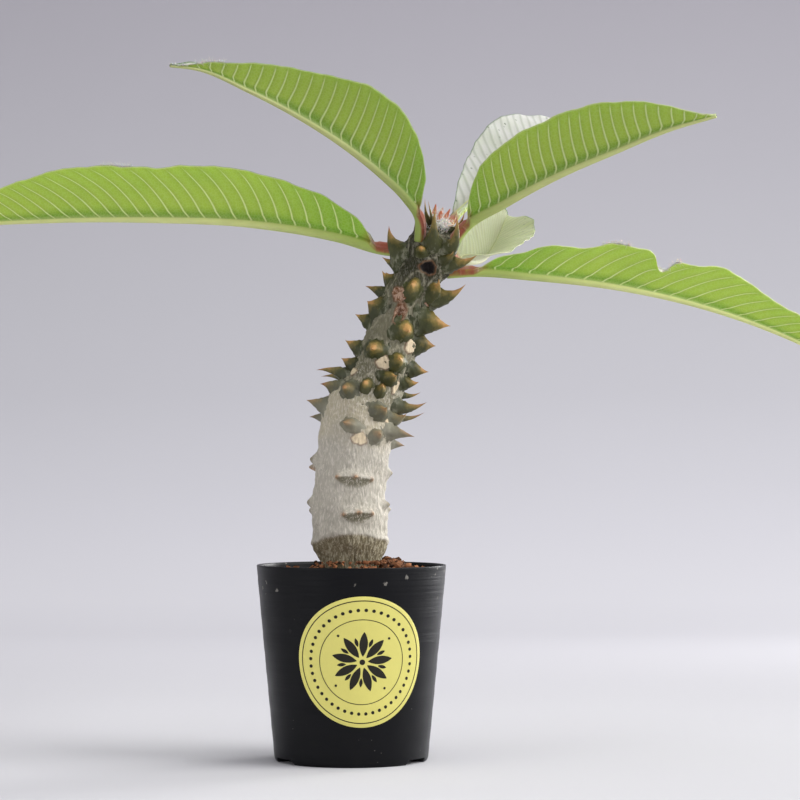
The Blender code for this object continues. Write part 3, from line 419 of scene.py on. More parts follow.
class SpineSettings(bpy.types.PropertyGroup):
    """Sizes and colours of the spines."""

    height_scale: plain_number("Base height", "Scale of the height of the spines' bases", 1.28)
    width_scale: plain_number("Base width", "Scale of the width of the spines' bases", 1.50)
    base_colour: tint("Base", "Colour of a spine's base", 60, 64, 34)
    middle_colour: tint("Middle", "Colour of a spine's outer half", 150, 116, 68)
    tip_colour: tint("Tip", "Colour of a spine's point", 96, 50, 34)


class LeafSettings(bpy.types.PropertyGroup):
    """Sizes and colours of the leaves."""

    thickness: metres("Thickness", "Thickness of the blade", 0.0005)
    quilting: metres("Quilting", "How far the blade swells between its veins", 0.00022)
    vein_width: metres("Vein width", "Width of a side vein", 0.00072)
    blade: tint("Blade", "Green of the lower face", 162, 188, 62)
    # Painted shadow: the green of the lower face beside the midrib
    rib_shadow_green: tint("Blade beside the midrib", "Green beside the midrib", 112, 152, 32)
    vein: tint("Veins", "Colour of the side veins", 216, 230, 158)
    rib: tint("Midrib", "Colour of the midrib", 206, 212, 138)
    pale: tint("Pale leaf", "Colour of the dull leaf behind the stem", 200, 199, 164)
    stalk: tint("Stalk", "Red of the stalk's upper side", 150, 74, 52)
    down: tint("Down", "Colour of the downy upper face", 216, 215, 208)
    margin: tint("Margin", "Colour of the leaf's edge", 206, 212, 160)


class TipSettings(bpy.types.PropertyGroup):
    """Sizes and colours of the young leaves and the wool at the growing tip."""

    leaf_tip: tint("Leaf tips", "Colour of the young leaves' tips", 214, 134, 96)
    leaf_base: tint("Leaf bases", "Colour of the young leaves' bases", 206, 186, 160)
    wool: tint("Wool", "Colour of the wool", 244, 240, 234)
    hair_length: metres("Hair length", "Length of the wool's hairs", 0.0034)


class StageSettings(bpy.types.PropertyGroup):
    """The studio's colours and light."""

    # Painted light falloff: the floor, wall and high wall colours grade from light to dark
    low: tint("Floor", "Colour of the floor near the pot", 235, 234, 238)
    middle: tint("Wall", "Colour of the wall behind the plant", 204, 203, 208)
    high: tint("High wall", "Colour of the wall above the plant", 182, 179, 186)
    key_power: watts("Key light", "Power of the soft light on the right", 29.0)
    fill_power: watts("Fill light", "Power of the soft light on the left", 4.5)
    edge_power: watts("Edge light", "Power of the light behind, on the right", 2.0)
    top_power: watts("Top light", "Power of the soft light overhead", 9.0)
    sky: plain_number("Room light", "Strength of the light from all round", 0.48)


def unit(vectors):
    """Each row at length one."""
    return vectors / np.linalg.norm(vectors, axis=-1, keepdims=True)


def around(azimuth_degrees):
    """The level unit vectors that azimuths point along: (sin, -cos, 0)."""
    angle = np.radians(np.asarray(azimuth_degrees, float))
    return np.stack([np.sin(angle), -np.cos(angle), np.zeros_like(angle)], -1)


def up_by(heights):
    """Vectors straight up by these heights."""
    heights = np.asarray(heights, float)
    return np.stack([np.zeros_like(heights), np.zeros_like(heights), heights], -1)


def smooth_step(low, high, values):
    """0 at low and before it, 1 at high and past it, and 3t^2 - 2t^3 between them. Low may be the greater."""
    t = np.clip((values - low) / (high - low), 0.0, 1.0)
    return t * t * (3.0 - 2.0 * t)


def bell(values):
    """exp(-x^2): 1 at zero, falling off to both sides."""
    return np.exp(-np.square(values))


def turned(degrees):
    """Angles brought to between -180 and 180 degrees."""
    return (degrees + 180.0) % 360.0 - 180.0


def between(values, pairs):
    """The second number of a pair, read off straight lines between the pairs at values of the first."""
    at, to = np.array(pairs).T
    return np.interp(values, at, to)


def smooth_curve(stations, parameters):
    """Values on a cubic through the stations, whose parameter runs from 0 to 1 by chord length."""
    rows = np.array(stations, float)
    chord = np.linalg.norm(np.diff(rows[:, :3], axis=0), axis=1)
    knots = np.concatenate([[0.0], np.cumsum(chord)]) / chord.sum()
    return through(knots, rows, np.gradient(rows, knots, axis=0), parameters)


def through(knots, rows, slopes, parameters):
    """Cubic Hermite values: each span blends its end values and end slopes."""
    t = np.clip(np.asarray(parameters, float), knots[0], knots[-1])
    i = np.clip(np.searchsorted(knots, t, side="right") - 1, 0, len(knots) - 2)
    width = knots[i + 1] - knots[i]
    s = ((t - knots[i]) / width)[..., None]
    width = width[..., None]
    return (
        (2 * s**3 - 3 * s**2 + 1) * rows[i]
        + (s**3 - 2 * s**2 + s) * width * slopes[i]
        + (3 * s**2 - 2 * s**3) * rows[i + 1]
        + (s**3 - s**2) * width * slopes[i + 1]
    )


def ripples(points, wavelength, seed):
    """Smooth noise of about -1 to 1: a sum of plane waves of like length, with seeded ways and phases."""
    draw = np.random.default_rng(seed)
    ways = unit(draw.normal(size=(RIPPLE_WAVES, 3)))
    waves = ways * (draw.uniform(0.7, 1.5, (RIPPLE_WAVES, 1)) * 2 * math.pi / wavelength)
    phases = draw.uniform(0.0, 2 * math.pi, RIPPLE_WAVES)
    return np.sin(points @ waves.T + phases).sum(-1) / math.sqrt(RIPPLE_WAVES)


def closed_skins(grids, starts, ends):
    """Closed skins over k grids of rows of points, each row a ring, with a pole at each end.

    Returns the points, then the quads between neighbouring rows and the triangles round the poles, faces out.
    """
    k, rows, columns, _ = grids.shape
    points = np.concatenate([grids.reshape(-1, 3), starts, ends])
    index = np.arange(k * rows * columns).reshape(k, rows, columns)
    beside = np.roll(index, -1, axis=2)
    quads = np.stack([index[:, :-1], beside[:, :-1], beside[:, 1:], index[:, 1:]], -1).reshape(-1, 4)
    first, last = index.size + np.arange(2 * k).reshape(2, k, 1) + np.zeros((1, 1, columns), int)
    at_start = np.stack([first, beside[:, 0], index[:, 0]], -1)
    at_end = np.stack([last, index[:, -1], beside[:, -1]], -1)
    fans = np.concatenate([at_start, at_end]).reshape(-1, 3)
    if volume(points, quads, fans) < 0:
        quads, fans = quads[:, ::-1], fans[:, ::-1]
    return points, quads, fans


def volume(points, quads, fans):
    """Six times the signed volume that the faces enclose, by the sum of triple products."""
    triangles = np.concatenate([quads[:, [0, 1, 2]], quads[:, [0, 2, 3]], fans])
    a, b, c = (points[triangles[:, i]] for i in range(3))
    return float(np.einsum("ij,ij->i", a, np.cross(b, c)).sum())


def pole_values(values, shape=None):
    """A value for each point of closed_skins: the grids' own, then the mean of each first and last ring."""
    if shape is not None:
        values = np.broadcast_to(values, shape)
    return np.concatenate([values.reshape(-1), values[:, 0].mean(-1), values[:, -1].mean(-1)])


def piece(name, points, quads, fans, finishes, attributes=None, uv=None, finish_index=None, sharp=None):
    """An object of these points and faces at the origin, with a value or a UV place for each point."""
    mesh = bpy.data.meshes.new(name)
    loops = np.concatenate([quads.reshape(-1), fans.reshape(-1)]).astype(np.int32)
    starts = np.concatenate([np.arange(len(quads)) * 4, len(quads) * 4 + np.arange(len(fans)) * 3])
    mesh.vertices.add(len(points))
    mesh.vertices.foreach_set("co", np.asarray(points, np.float32).reshape(-1))
    mesh.loops.add(len(loops))
    mesh.loops.foreach_set("vertex_index", loops)
    mesh.polygons.add(len(starts))
    mesh.polygons.foreach_set("loop_start", starts.astype(np.int32))
    if finish_index is not None:
        mesh.polygons.foreach_set("material_index", np.asarray(finish_index, np.int32))
    mesh.update(calc_edges=True)
    mesh.validate()
    for finish in finishes:
        mesh.materials.append(finish)
    for key, values in (attributes or {}).items():
        mesh.attributes.new(key, "FLOAT", "POINT").data.foreach_set("value", np.asarray(values, np.float32))
    if uv is not None:
        layer = mesh.uv_layers.new(name="UVMap")
        corner = np.empty(len(mesh.loops), np.int32)
        mesh.loops.foreach_get("vertex_index", corner)
        layer.uv.foreach_set("vector", np.asarray(uv, np.float32)[corner].reshape(-1))
    mesh.shade_smooth()
    if sharp:
        mesh.set_sharp_from_angle(angle=math.radians(sharp))
    made = bpy.data.objects.new(name, mesh)
    bpy.context.scene.collection.objects.link(made)
    return made


def place_piece(made, slot, *nodes):
    """The piece rides on the part's one body and stands for these nodes. The slot is not used."""
    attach(made, "root")
    if nodes:
        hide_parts(*nodes)


class Finish:
    """A Principled material, with short calls that add nodes and wire them."""

    def __init__(self, name, **sockets):
        self.material = bpy.data.materials.new(name)
        self.material.use_nodes = True
        self.tree = self.material.node_tree
        self.shader = self.tree.nodes["Principled BSDF"]
        self.place = self.tree.nodes.new("ShaderNodeTexCoord").outputs["Object"]
        self.fill(self.shader, sockets)

    def put(self, socket, value):
        """Links a node's output to the socket, or sets the socket's value."""
        if isinstance(value, bpy.types.NodeSocket):
            self.tree.links.new(value, socket)
        else:
            socket.default_value = value

    def fill(self, node, sockets):
        """Sets or links each named socket."""
        for name, value in sockets.items():
            self.put(node.inputs[name.replace("_", " ")], value)

    def shade(self, **sockets):
        """Sets or links sockets of the Principled shader, and returns the material."""
        self.fill(self.shader, sockets)
        return self.material

    def node(self, kind, settings=None, **sockets):
        """A new node with these settings and sockets."""
        made = self.tree.nodes.new(kind)
        for name, value in (settings or {}).items():
            setattr(made, name, value)
        self.fill(made, sockets)
        return made

    def attribute(self, name):
        """The mesh's own value of this name."""
        return self.node("ShaderNodeAttribute", {"attribute_name": name}).outputs["Fac"]

    def axis(self, name):
        """One of the object coordinates, X, Y or Z."""
        return self.node("ShaderNodeSeparateXYZ", Vector=self.place).outputs[name]

    def scaled(self, x, y, z):
        """Object coordinates scaled along each axis."""
        return self.node("ShaderNodeMapping", Vector=self.place, Scale=(x, y, z)).outputs["Vector"]

    def noise(self, scale, detail=3.0, roughness=0.55, vector=None, distortion=0.0):
        """Fractal noise on object coordinates, or on another vector."""
        made = self.node("ShaderNodeTexNoise", Vector=vector or self.place, Scale=scale, Detail=detail)
        self.fill(made, {"Roughness": roughness, "Distortion": distortion})
        return made.outputs["Fac"]

    def cells(self, scale, feature="F1", vector=None):
        """Distances in a field of scattered cells."""
        settings = {"feature": feature}
        made = self.node("ShaderNodeTexVoronoi", settings, Vector=vector or self.place, Scale=scale)
        return made.outputs["Distance"]

    def remap(self, value, low, high, to_low=0.0, to_high=1.0, kind="SMOOTHSTEP"):
        """The value eased from one range to another and held there."""
        made = self.node("ShaderNodeMapRange", {"interpolation_type": kind}, Value=value)
        self.fill(made, {"From Min": low, "From Max": high, "To Min": to_low, "To Max": to_high})
        return made.outputs["Result"]

    def linear(self, value, low, high, to_low=0.0, to_high=1.0):
        """The value moved straight from one range to another and held there."""
        return self.remap(value, low, high, to_low, to_high, "LINEAR")

    def calc(self, operation, first, second=0.0, clamp=False):
        """One sum, product or other step on two values."""
        made = self.node("ShaderNodeMath", {"operation": operation, "use_clamp": clamp})
        self.put(made.inputs[0], first)
        self.put(made.inputs[1], second)
        return made.outputs[0]

    def plus(self, first, second):
        """The sum of two values."""
        return self.calc("ADD", first, second)

    def times(self, product, *values):
        """The product of the values."""
        for value in values:
            product = self.calc("MULTIPLY", product, value)
        return product

    def mix(self, factor, first, second, kind="MIX"):
        """Two colours mixed by a factor."""
        made = self.node("ShaderNodeMix", {"data_type": "RGBA", "blend_type": kind})
        for index, value in ((0, factor), (6, first), (7, second)):
            self.put(made.inputs[index], value)
        return made.outputs[2]

    def over(self, ground, colour, *shares):
        """A colour laid over the ground, by the product of the shares."""
        return self.mix(self.times(*shares), ground, colour)

    def ramp(self, factor, *stops):
        """A colour read off a ramp of (place, colour) stops."""
        made = self.node("ShaderNodeValToRGB", Fac=factor)
        elements = made.color_ramp.elements
        while len(elements) < len(stops):
            elements.new(0.5)
        for element, (place, colour) in zip(elements, stops):
            element.position = place
            element.color = colour
        return made.outputs["Color"]

    def tone(self, colour, value, low, high):
        """The colour made darker or lighter as the value goes from 0 to 1."""
        grey = self.linear(value, 0.0, 1.0, low, high)
        grey = self.node("ShaderNodeCombineColor", Red=grey, Green=grey, Blue=grey)
        return self.mix(1.0, colour, grey.outputs[0], "MULTIPLY")

    def relief(self, *layers):
        """Bumps from (height, distance in metres, strength) layers, one on another. Returns the material."""
        below = {}
        for height, distance, strength in layers:
            made = self.node("ShaderNodeBump", Height=height, Distance=distance, Strength=strength, **below)
            below = {"Normal": made.outputs["Normal"]}
        return self.shade(**below)


def plastic_finish(pot):
    """Black moulded plastic: faint rings, a matt grain, and specks and flecks of dust that lie on it."""
    made = Finish("pot_plastic", Specular_IOR_Level=0.18)
    film = made.noise(55.0, 4.0, 0.6, made.scaled(1.0, 1.0, 0.35))
    specks = made.times(made.remap(made.cells(420.0), 0.055, 0.10, 1.0, 0.0), 0.55)
    specks = made.times(specks, made.remap(made.noise(70.0, 2.0), 0.56, 0.62))
    ragged = made.remap(made.noise(700.0, 3.0, 0.7), 0.2, 0.8, -0.12, 0.12)
    flecks = made.remap(made.plus(made.cells(150.0), ragged), 0.10, 0.15, 0.7, 0.0)
    near_rim = made.remap(made.axis("Z"), 0.060, 0.080)
    few = made.times(near_rim, made.remap(made.noise(48.0, 1.0), 0.46, 0.50))
    dust = made.calc("MAXIMUM", specks, made.times(flecks, few))
    colour = made.over(pot.plastic, pot.dust, made.remap(film, 0.45, 0.85, 0.0, 0.008))
    made.shade(
        Base_Color=made.over(colour, pot.dust, dust, 0.85),
        Roughness=made.plus(made.remap(film, 0.3, 0.8, 0.30, 0.46), made.times(dust, 0.3)),
    )
    rings = made.noise(1.0, 3.0, 0.6, made.scaled(3.0, 3.0, 420.0))
    return made.relief((rings, 0.00022, 0.8), (made.noise(900.0, 2.0), 0.00003, 0.35))


def paper_finish(pot):
    """Matt yellow label paper: painted light on its left, a faint fibre grain and a slightly uneven tint."""
    made = Finish("label_paper")
    fibres = made.noise(1500.0, 3.0, 0.6, made.scaled(1.0, 1.0, 0.4))
    patches = made.noise(120.0, 3.0)
    colour = made.tone(pot.paper, patches, 0.95, 1.05)
    # Painted light: the label grows lighter towards its left side
    colour = made.tone(colour, made.linear(made.axis("X"), -0.028, 0.028), 1.30, 0.96)
    colour = made.tone(colour, fibres, 0.97, 1.03)
    made.shade(Base_Color=colour, Roughness=made.remap(patches, 0.3, 0.7, 0.42, 0.55))
    return made.relief((fibres, 0.00002, 0.3))


def ink_finish(pot):
    """Dark print: a thin film of ink, a little uneven."""
    made = Finish("label_ink", Specular_IOR_Level=0.15)
    uneven = made.noise(900.0, 3.0)
    colour = made.tone(pot.ink, uneven, 0.8, 1.25)
    return made.shade(Base_Color=colour, Roughness=made.remap(uneven, 0.3, 0.7, 0.4, 0.55))


def mix_finish(soil):
    """Potting mix: crumbs of bark and peat, each with its own tone, with fine fibres."""
    made = Finish("potting_mix_crumbs", Roughness=0.95, Specular_IOR_Level=0.2)
    fine = made.noise(1400.0, 4.0, 0.65)
    broad = made.noise(260.0, 3.0)
    shade = made.plus(made.times(made.attribute("tone"), 0.7), made.times(broad, 0.35))
    colour = made.over(soil.dark, soil.light, made.remap(shade, 0.15, 0.95))
    made.shade(Base_Color=made.tone(colour, fine, 0.55, 1.35))
    return made.relief((fine, 0.0005, 0.7), (broad, 0.0008, 0.4))


def bark_finish(stem):
    """Bark: grey-green under a net of pale upright wrinkles low down, dark olive near the leaves.

    Corky scars, pits, dried flesh, painted shade on the lens under each old leaf base and its brown nubs lie
    over it.
    """
    made = Finish("bark", Specular_IOR_Level=0.3)
    height = made.attribute("height")
    streaks = made.noise(1350.0, 3.0, 0.6, made.scaled(1.0, 1.0, 0.24), 0.8)
    fine = made.noise(1500.0, 3.0, 0.6, made.scaled(1.0, 1.0, 0.35))
    blotches = made.noise(75.0, 4.0, 0.6)
    shifted = made.plus(height, made.linear(blotches, 0.25, 0.75, -0.006, 0.006))
    body = made.ramp(
        made.linear(shifted, 0.090, 0.2525),
        (0.00, stem.old_colour), (0.340, stem.old_colour),
        (0.430, stem.pale_colour), (0.465, stem.pale_colour),
        (0.535, stem.middle_colour), (0.740, stem.middle_colour),
        (0.860, stem.young_colour), (1.000, stem.young_colour),
    )
    body = made.tone(body, blotches, 0.80, 1.18)
    young = made.remap(height, 0.166, 0.200)
    lines = made.linear(young, 0.0, 1.0, 0.50, 0.12)
    body = made.over(body, stem.line_colour, made.remap(streaks, 0.50, 0.60), lines)
    gaps = made.remap(young, 0.0, 1.0, 0.20, 0.04)
    body = made.over(body, srgb(112, 108, 88), made.remap(streaks, 0.30, 0.42, 1.0, 0.0), gaps)
    ragged = made.remap(made.noise(420.0, 3.0, 0.7), 0.36, 0.60)
    body = made.over(body, srgb(176, 170, 146), made.attribute("fold"), ragged, 0.55)
    root = made.over(stem.root_colour, srgb(188, 180, 156), made.remap(streaks, 0.48, 0.62))
    # Painted shade under the old leaf bases, streaked with the pale wrinkle colour
    shade = made.over(stem.painted_shade_colour, stem.line_colour, made.remap(streaks, 0.52, 0.66, 0.0, 0.75))
    grain = made.noise(900.0, 3.0)
    nubs = made.over(srgb(120, 84, 50), srgb(206, 150, 104), made.remap(grain, 0.4, 0.6))
    dull = made.over(srgb(108, 98, 74), srgb(150, 138, 112), made.remap(streaks, 0.42, 0.60))
    cork = made.tone(stem.scar_colour, grain, 0.86, 1.10)
    cork = made.over(cork, srgb(158, 112, 76), made.remap(made.cells(1500.0), 0.16, 0.30, 0.30, 0.0))
    torn = made.remap(made.noise(650.0, 4.0, 0.7), 0.40, 0.60)
    flesh = made.over(srgb(112, 70, 38), srgb(190, 158, 136), torn)
    for name, colour, *share in (
        ("root", root), ("under", shade, 0.85), ("nubs", nubs, 0.72), ("knobs", dull, 0.75),
        ("rim", srgb(120, 74, 44), 0.55), ("cork", cork), ("dried", flesh), ("pit", srgb(24, 16, 14)),
    ):
        body = made.over(body, colour, made.attribute(name), *share)
    body = made.tone(body, fine, 0.86, 1.12)
    made.shade(Base_Color=body, Roughness=made.remap(streaks, 0.3, 0.7, 0.64, 0.82))
    return made.relief((streaks, 0.0006, 0.65), (fine, 0.0003, 0.4), (blotches, 0.0008, 0.3))


def spine_finish(spines):
    """Spines: a dark olive body with grey streaks, then tan, orange-brown and a dark point."""
    made = Finish("spine_horn", Roughness=0.50, Specular_IOR_Level=0.36)
    along = made.attribute("along")
    streaks = made.noise(520.0, 4.0, 0.65, made.scaled(1.0, 1.0, 0.5))
    moved = made.plus(along, made.linear(streaks, 0.2, 0.8, -0.07, 0.07))
    moved = made.plus(moved, made.linear(made.noise(330.0, 3.0, 0.6), 0.25, 0.75, -0.17, 0.11))
    # Painted light: each spine's upper side moves towards the lighter, warmer colours, its lower side towards
    # dark olive
    painted_top_light = made.linear(made.attribute("above"), -1.0, 1.0, -0.13, 0.13)
    moved = made.plus(moved, made.times(painted_top_light, made.remap(along, 0.1, 0.5)))
    old = made.ramp(
        moved,
        (0.0, srgb(62, 66, 42)), (0.34, spines.base_colour), (0.60, srgb(118, 104, 54)),
        (0.80, spines.middle_colour), (0.92, srgb(150, 86, 52)), (1.0, spines.tip_colour),
    )
    new = made.ramp(
        moved,
        (0.0, srgb(52, 56, 24)), (0.40, srgb(68, 68, 28)), (0.64, srgb(136, 116, 58)),
        (0.84, srgb(190, 140, 90)), (1.0, srgb(160, 76, 48)),
    )
    grey = made.ramp(
        moved, (0.0, srgb(160, 156, 140)), (0.45, srgb(128, 124, 106)), (1.0, srgb(146, 116, 86))
    )
    colour = made.over(old, new, made.attribute("youth"))
    # Tan on blunt spines towards their ends: part wear, part painted highlight on their upper side
    wear_and_highlight = made.remap(moved, 0.62, 0.80)
    colour = made.over(colour, srgb(184, 142, 84), made.attribute("blunt"), wear_and_highlight, 0.85)
    low = made.remap(made.attribute("height"), 0.155, 0.180, 1.0, 0.0)
    colour = made.over(colour, grey, low, 0.85)
    colour = made.tone(colour, streaks, 0.74, 1.24)
    colour = made.tone(colour, made.attribute("tone"), 0.86, 1.14)
    body = made.remap(along, 0.75, 0.25, 0.0, 0.28)
    colour = made.over(colour, srgb(180, 178, 152), made.remap(streaks, 0.60, 0.72), body)
    foot = made.remap(along, 0.30, 0.16)
    colour = made.over(colour, srgb(170, 168, 146), foot, made.remap(streaks, 0.44, 0.60, 0.0, 0.38))
    made.shade(Base_Color=colour)
    return made.relief((streaks, 0.0004, 0.5))


def vein_lines(made, leaves, spacing):
    """1 on the side veins and 0 between them, faded at the margin, and how far each place is from a vein.

    Both come from the blade's own vein count, which passes a half on each vein.
    """
    from_vein = made.calc("SUBTRACT", made.calc("FRACT", made.attribute("vein")), 0.5)
    from_vein = made.calc("ABSOLUTE", from_vein)
    across = made.attribute("across")
    width = leaves.vein_width / spacing
    half = made.linear(across, 0.0, 1.0, 0.74 * width, 0.40 * width)
    line = made.calc("SUBTRACT", 1.35, made.calc("DIVIDE", from_vein, half), True)
    return made.times(line, made.remap(across, 0.80, 0.95, 1.0, 0.15)), from_vein


def lower_face_finish(leaves, name, spacing, look, tone):
    """A leaf's green lower face: crisp pale side veins, a fine net between them, and a stout pale midrib."""
    made = Finish(name, Specular_IOR_Level=0.4)
    across, rib, reach, red = (made.attribute(key) for key in ("across", "rib", "reach", "red"))
    veins, from_vein = vein_lines(made, leaves, spacing)
    veins = made.times(veins, made.calc("SUBTRACT", 1.0, rib))
    fine = made.noise(2200.0, 3.0, 0.6)
    net = made.remap(made.cells(640.0, "DISTANCE_TO_EDGE"), 0.0, 0.16, 1.0, 0.0)
    uneven = made.linear(made.noise(42.0, 3.0, 0.55), 0.3, 0.7, -0.15, 0.15)
    # Painted shadow: the lower face is darker green beside the midrib
    blade = made.over(leaves.rib_shadow_green, leaves.blade, made.plus(made.remap(across, 0.0, 0.24), uneven))
    blade = made.over(blade, srgb(116, 164, 34), made.remap(reach, 0.30, 0.10, 0.0, 0.65))
    blade = made.tone(blade, made.remap(from_vein, 0.05, 0.42), 0.93, 1.04)
    blade = made.tone(blade, fine, 0.90, 1.10)
    blade = made.over(blade, leaves.vein, net, 0.12)
    blade = made.over(blade, leaves.vein, veins, 0.92)
    ribbed = made.over(srgb(160, 178, 88), leaves.rib, made.remap(reach, 0.02, 0.40))
    ribbed = made.tone(ribbed, made.noise(300.0, 3.0, 0.6, made.scaled(0.3, 1.0, 1.0)), 0.90, 1.10)
    blade = made.over(blade, ribbed, rib)
    stained = made.remap(made.noise(160.0, 3.0), 0.25, 0.60, 0.55, 1.0)
    blade = made.over(blade, leaves.stalk, red, stained)
    blade = made.over(blade, leaves.margin, made.attribute("edge"), 0.8)
    # Painted light: each leaf's whole lower face is lightened or darkened by its tone
    blade = made.tone(blade, 1.0, 1.0, tone)
    if look == "pale":
        blade = made.over(blade, leaves.pale, made.calc("SUBTRACT", 0.9, made.times(red, 0.8)))
    if look == "hoary":
        bare = made.calc("SUBTRACT", 1.0, made.calc("MAXIMUM", rib, red))
        blade = made.over(blade, srgb(190, 194, 172), made.remap(reach, 0.40, 0.16, 0.0, 0.85), bare)
    made.shade(
        Base_Color=blade,
        Roughness=made.remap(fine, 0.3, 0.7, 0.42, 0.58),
        Subsurface_Weight=0.20,
        Subsurface_Radius=(0.6, 1.0, 0.15),
        Subsurface_Scale=0.0012,
    )
    return made.relief((veins, 0.00035, 0.8), (fine, 0.00008, 0.5), (net, 0.00008, 0.3))


def upper_face_finish(leaves, name, spacing, look):
    """A leaf's downy upper face: whitish down over green, pressed-in veins, flecks and a green margin.

    Each look has the least and most share of green, the down's colour and the shares of groove and midrib.
    """
    made = Finish(name, Roughness=0.85, Specular_IOR_Level=0.25, Sheen_Weight=0.25, Sheen_Roughness=0.6)
    veins, from_vein = vein_lines(made, leaves, spacing)
    least, most, ground, groove, rib = {
        None: (0.12, 0.42, leaves.down, 0.36, 0.7),
        "hoary": (0.0, 0.20, srgb(190, 190, 184), 0.55, 0.7),
        "pale": (0.10, 0.30, srgb(190, 193, 150), 0.36, 0.3),
    }[look]
    down = made.noise(1500.0, 4.0, 0.7)
    green = made.remap(made.noise(60.0, 3.0), 0.35, 0.70, least, most)
    colour = made.tone(made.over(ground, srgb(150, 166, 104), green), down, 0.86, 1.10)
    colour = made.over(colour, srgb(136, 142, 122), made.remap(from_vein, 0.0, 0.30, 1.0, 0.0), groove)
    dashes = made.remap(made.cells(260.0, "F1", made.scaled(1.0, 1.0, 0.45)), 0.10, 0.20, 1.0, 0.0)
    dashes = made.times(dashes, made.remap(made.noise(130.0, 2.0), 0.42, 0.50))
    near_edge = made.remap(made.attribute("across"), 0.55, 0.85, 0.15, 0.8)
    colour = made.over(colour, srgb(64, 78, 54), dashes, near_edge)
    colour = made.over(colour, leaves.rib, made.attribute("rib"), rib)
    if look == "pale":
        # Painted light on the near half and painted shade on the far half
        colour = made.tone(colour, made.attribute("half"), *HALF_LIGHT_AND_SHADE)
    stained = made.remap(made.noise(160.0, 3.0), 0.25, 0.60, 0.65, 1.0)
    colour = made.over(colour, leaves.stalk, made.attribute("red"), stained)
    colour = made.over(colour, srgb(76, 106, 58), made.attribute("edge"), 0.85)
    made.shade(
        Base_Color=colour, Subsurface_Weight=0.15, Subsurface_Radius=(0.6, 1.0, 0.3), Subsurface_Scale=0.001
    )
    return made.relief((veins, 0.0003, -0.8), (down, 0.0002, 0.6))


def tip_finish(tip):
    """Young folded leaves: pale downy bases that turn to orange-red tips."""
    made = Finish("young_leaf_flush", Roughness=0.6, Subsurface_Weight=0.2, Subsurface_Scale=0.001)
    fine = made.noise(1200.0, 4.0, 0.65)
    moved = made.plus(made.attribute("along"), made.linear(fine, 0.3, 0.7, -0.12, 0.12))
    colour = made.ramp(
        moved,
        (0.0, tip.leaf_base), (0.35, srgb(196, 160, 122)), (0.65, tip.leaf_tip), (1.0, srgb(176, 92, 62)),
    )
    made.shade(Base_Color=made.tone(colour, fine, 0.8, 1.15))
    return made.relief((fine, 0.0002, 0.5))


def down_finish(name, colour):
    """White wool or down, a little warmer and darker at its roots."""
    made = Finish(name, Roughness=0.9, Specular_IOR_Level=0.2, Subsurface_Weight=0.2, Subsurface_Scale=0.0008)
    colour = made.over(srgb(214, 198, 176), colour, made.remap(made.attribute("along"), 0.0, 0.3))
    return made.shade(Base_Color=made.tone(colour, made.noise(900.0, 2.0), 0.86, 1.08))


def backdrop_finish(stage):
    """Matt studio paper with a faint grain: painted light falloff darkens its tone from the floor up the
    wall.

    Painted shade darkens the floor round the pot, most to the right and towards the camera, less by the wall.
    """
    made = Finish("studio_paper", Roughness=0.9, Specular_IOR_Level=0.15)
    x, y, z = (made.axis(name) for name in "XYZ")
    # Painted light falloff: the paper darkens from the floor up the wall
    colour = made.ramp(
        made.linear(z, 0.0, 1.6),
        (0.0, stage.low), (0.012, srgb(236, 235, 239)), (0.050, srgb(227, 226, 231)),
        (0.077, srgb(221, 220, 225)), (0.135, srgb(210, 209, 214)),
        (0.20, stage.middle), (0.44, stage.high), (1.0, stage.high),
    )
    # Painted shade on the floor round the pot, more to the right and towards the camera
    floor = made.remap(z, 0.0, 0.02, 1.0, 0.0)
    painted_floor_shade = made.times(floor, made.remap(y, 0.88, 0.30))
    near = made.times(floor, made.remap(y, 0.12, -0.14, 0.0, 0.3))
    right = made.times(painted_floor_shade, made.remap(x, -0.15, 0.3, 0.0, 0.8))
    colour = made.tone(colour, painted_floor_shade, 1.0, 0.793)
    colour = made.tone(colour, made.plus(near, right), 1.0, 0.86)
    return made.shade(Base_Color=made.tone(colour, made.noise(3.0, 3.0), 0.985, 1.015))


def pot_radius(pot, height):
    """The pot's outer radius at a height: a straight taper from the foot to the mouth."""
    return pot.foot_radius + (pot.mouth_radius - pot.foot_radius) * height / pot.height


def rounded(profile, radius):
    """A profile of (radius, height) points, each inner corner rounded by a quadratic curve of this reach."""
    path = np.array(profile, float)
    before, corner, after = path[:-2], path[1:-1], path[2:]
    spans = np.linalg.norm(np.array([before, after]) - corner, axis=2)
    reach = np.minimum(radius, 0.45 * spans.min(0))[:, None]
    first = corner + unit(before - corner) * reach
    last = corner + unit(after - corner) * reach
    s = np.linspace(0.0, 1.0, CORNER_POINTS)[None, :, None]
    bends = (1 - s) ** 2 * first[:, None] + 2 * s * (1 - s) * corner[:, None] + s * s * last[:, None]
    return np.concatenate([path[:1], bends.reshape(-1, 2), path[-1:]])


def refined(path, step):
    """The path with points added so that none lie further apart than the step."""
    spans = np.linalg.norm(np.diff(path, axis=0), axis=1)
    length = np.concatenate([[0.0], np.cumsum(spans)])
    extra = np.linspace(0.0, length[-1], int(length[-1] / step) + 2)
    at = np.unique(np.round(np.concatenate([length, extra]), 7))
    return np.stack([np.interp(at, length, path[:, 0]), np.interp(at, length, path[:, 1])], -1)


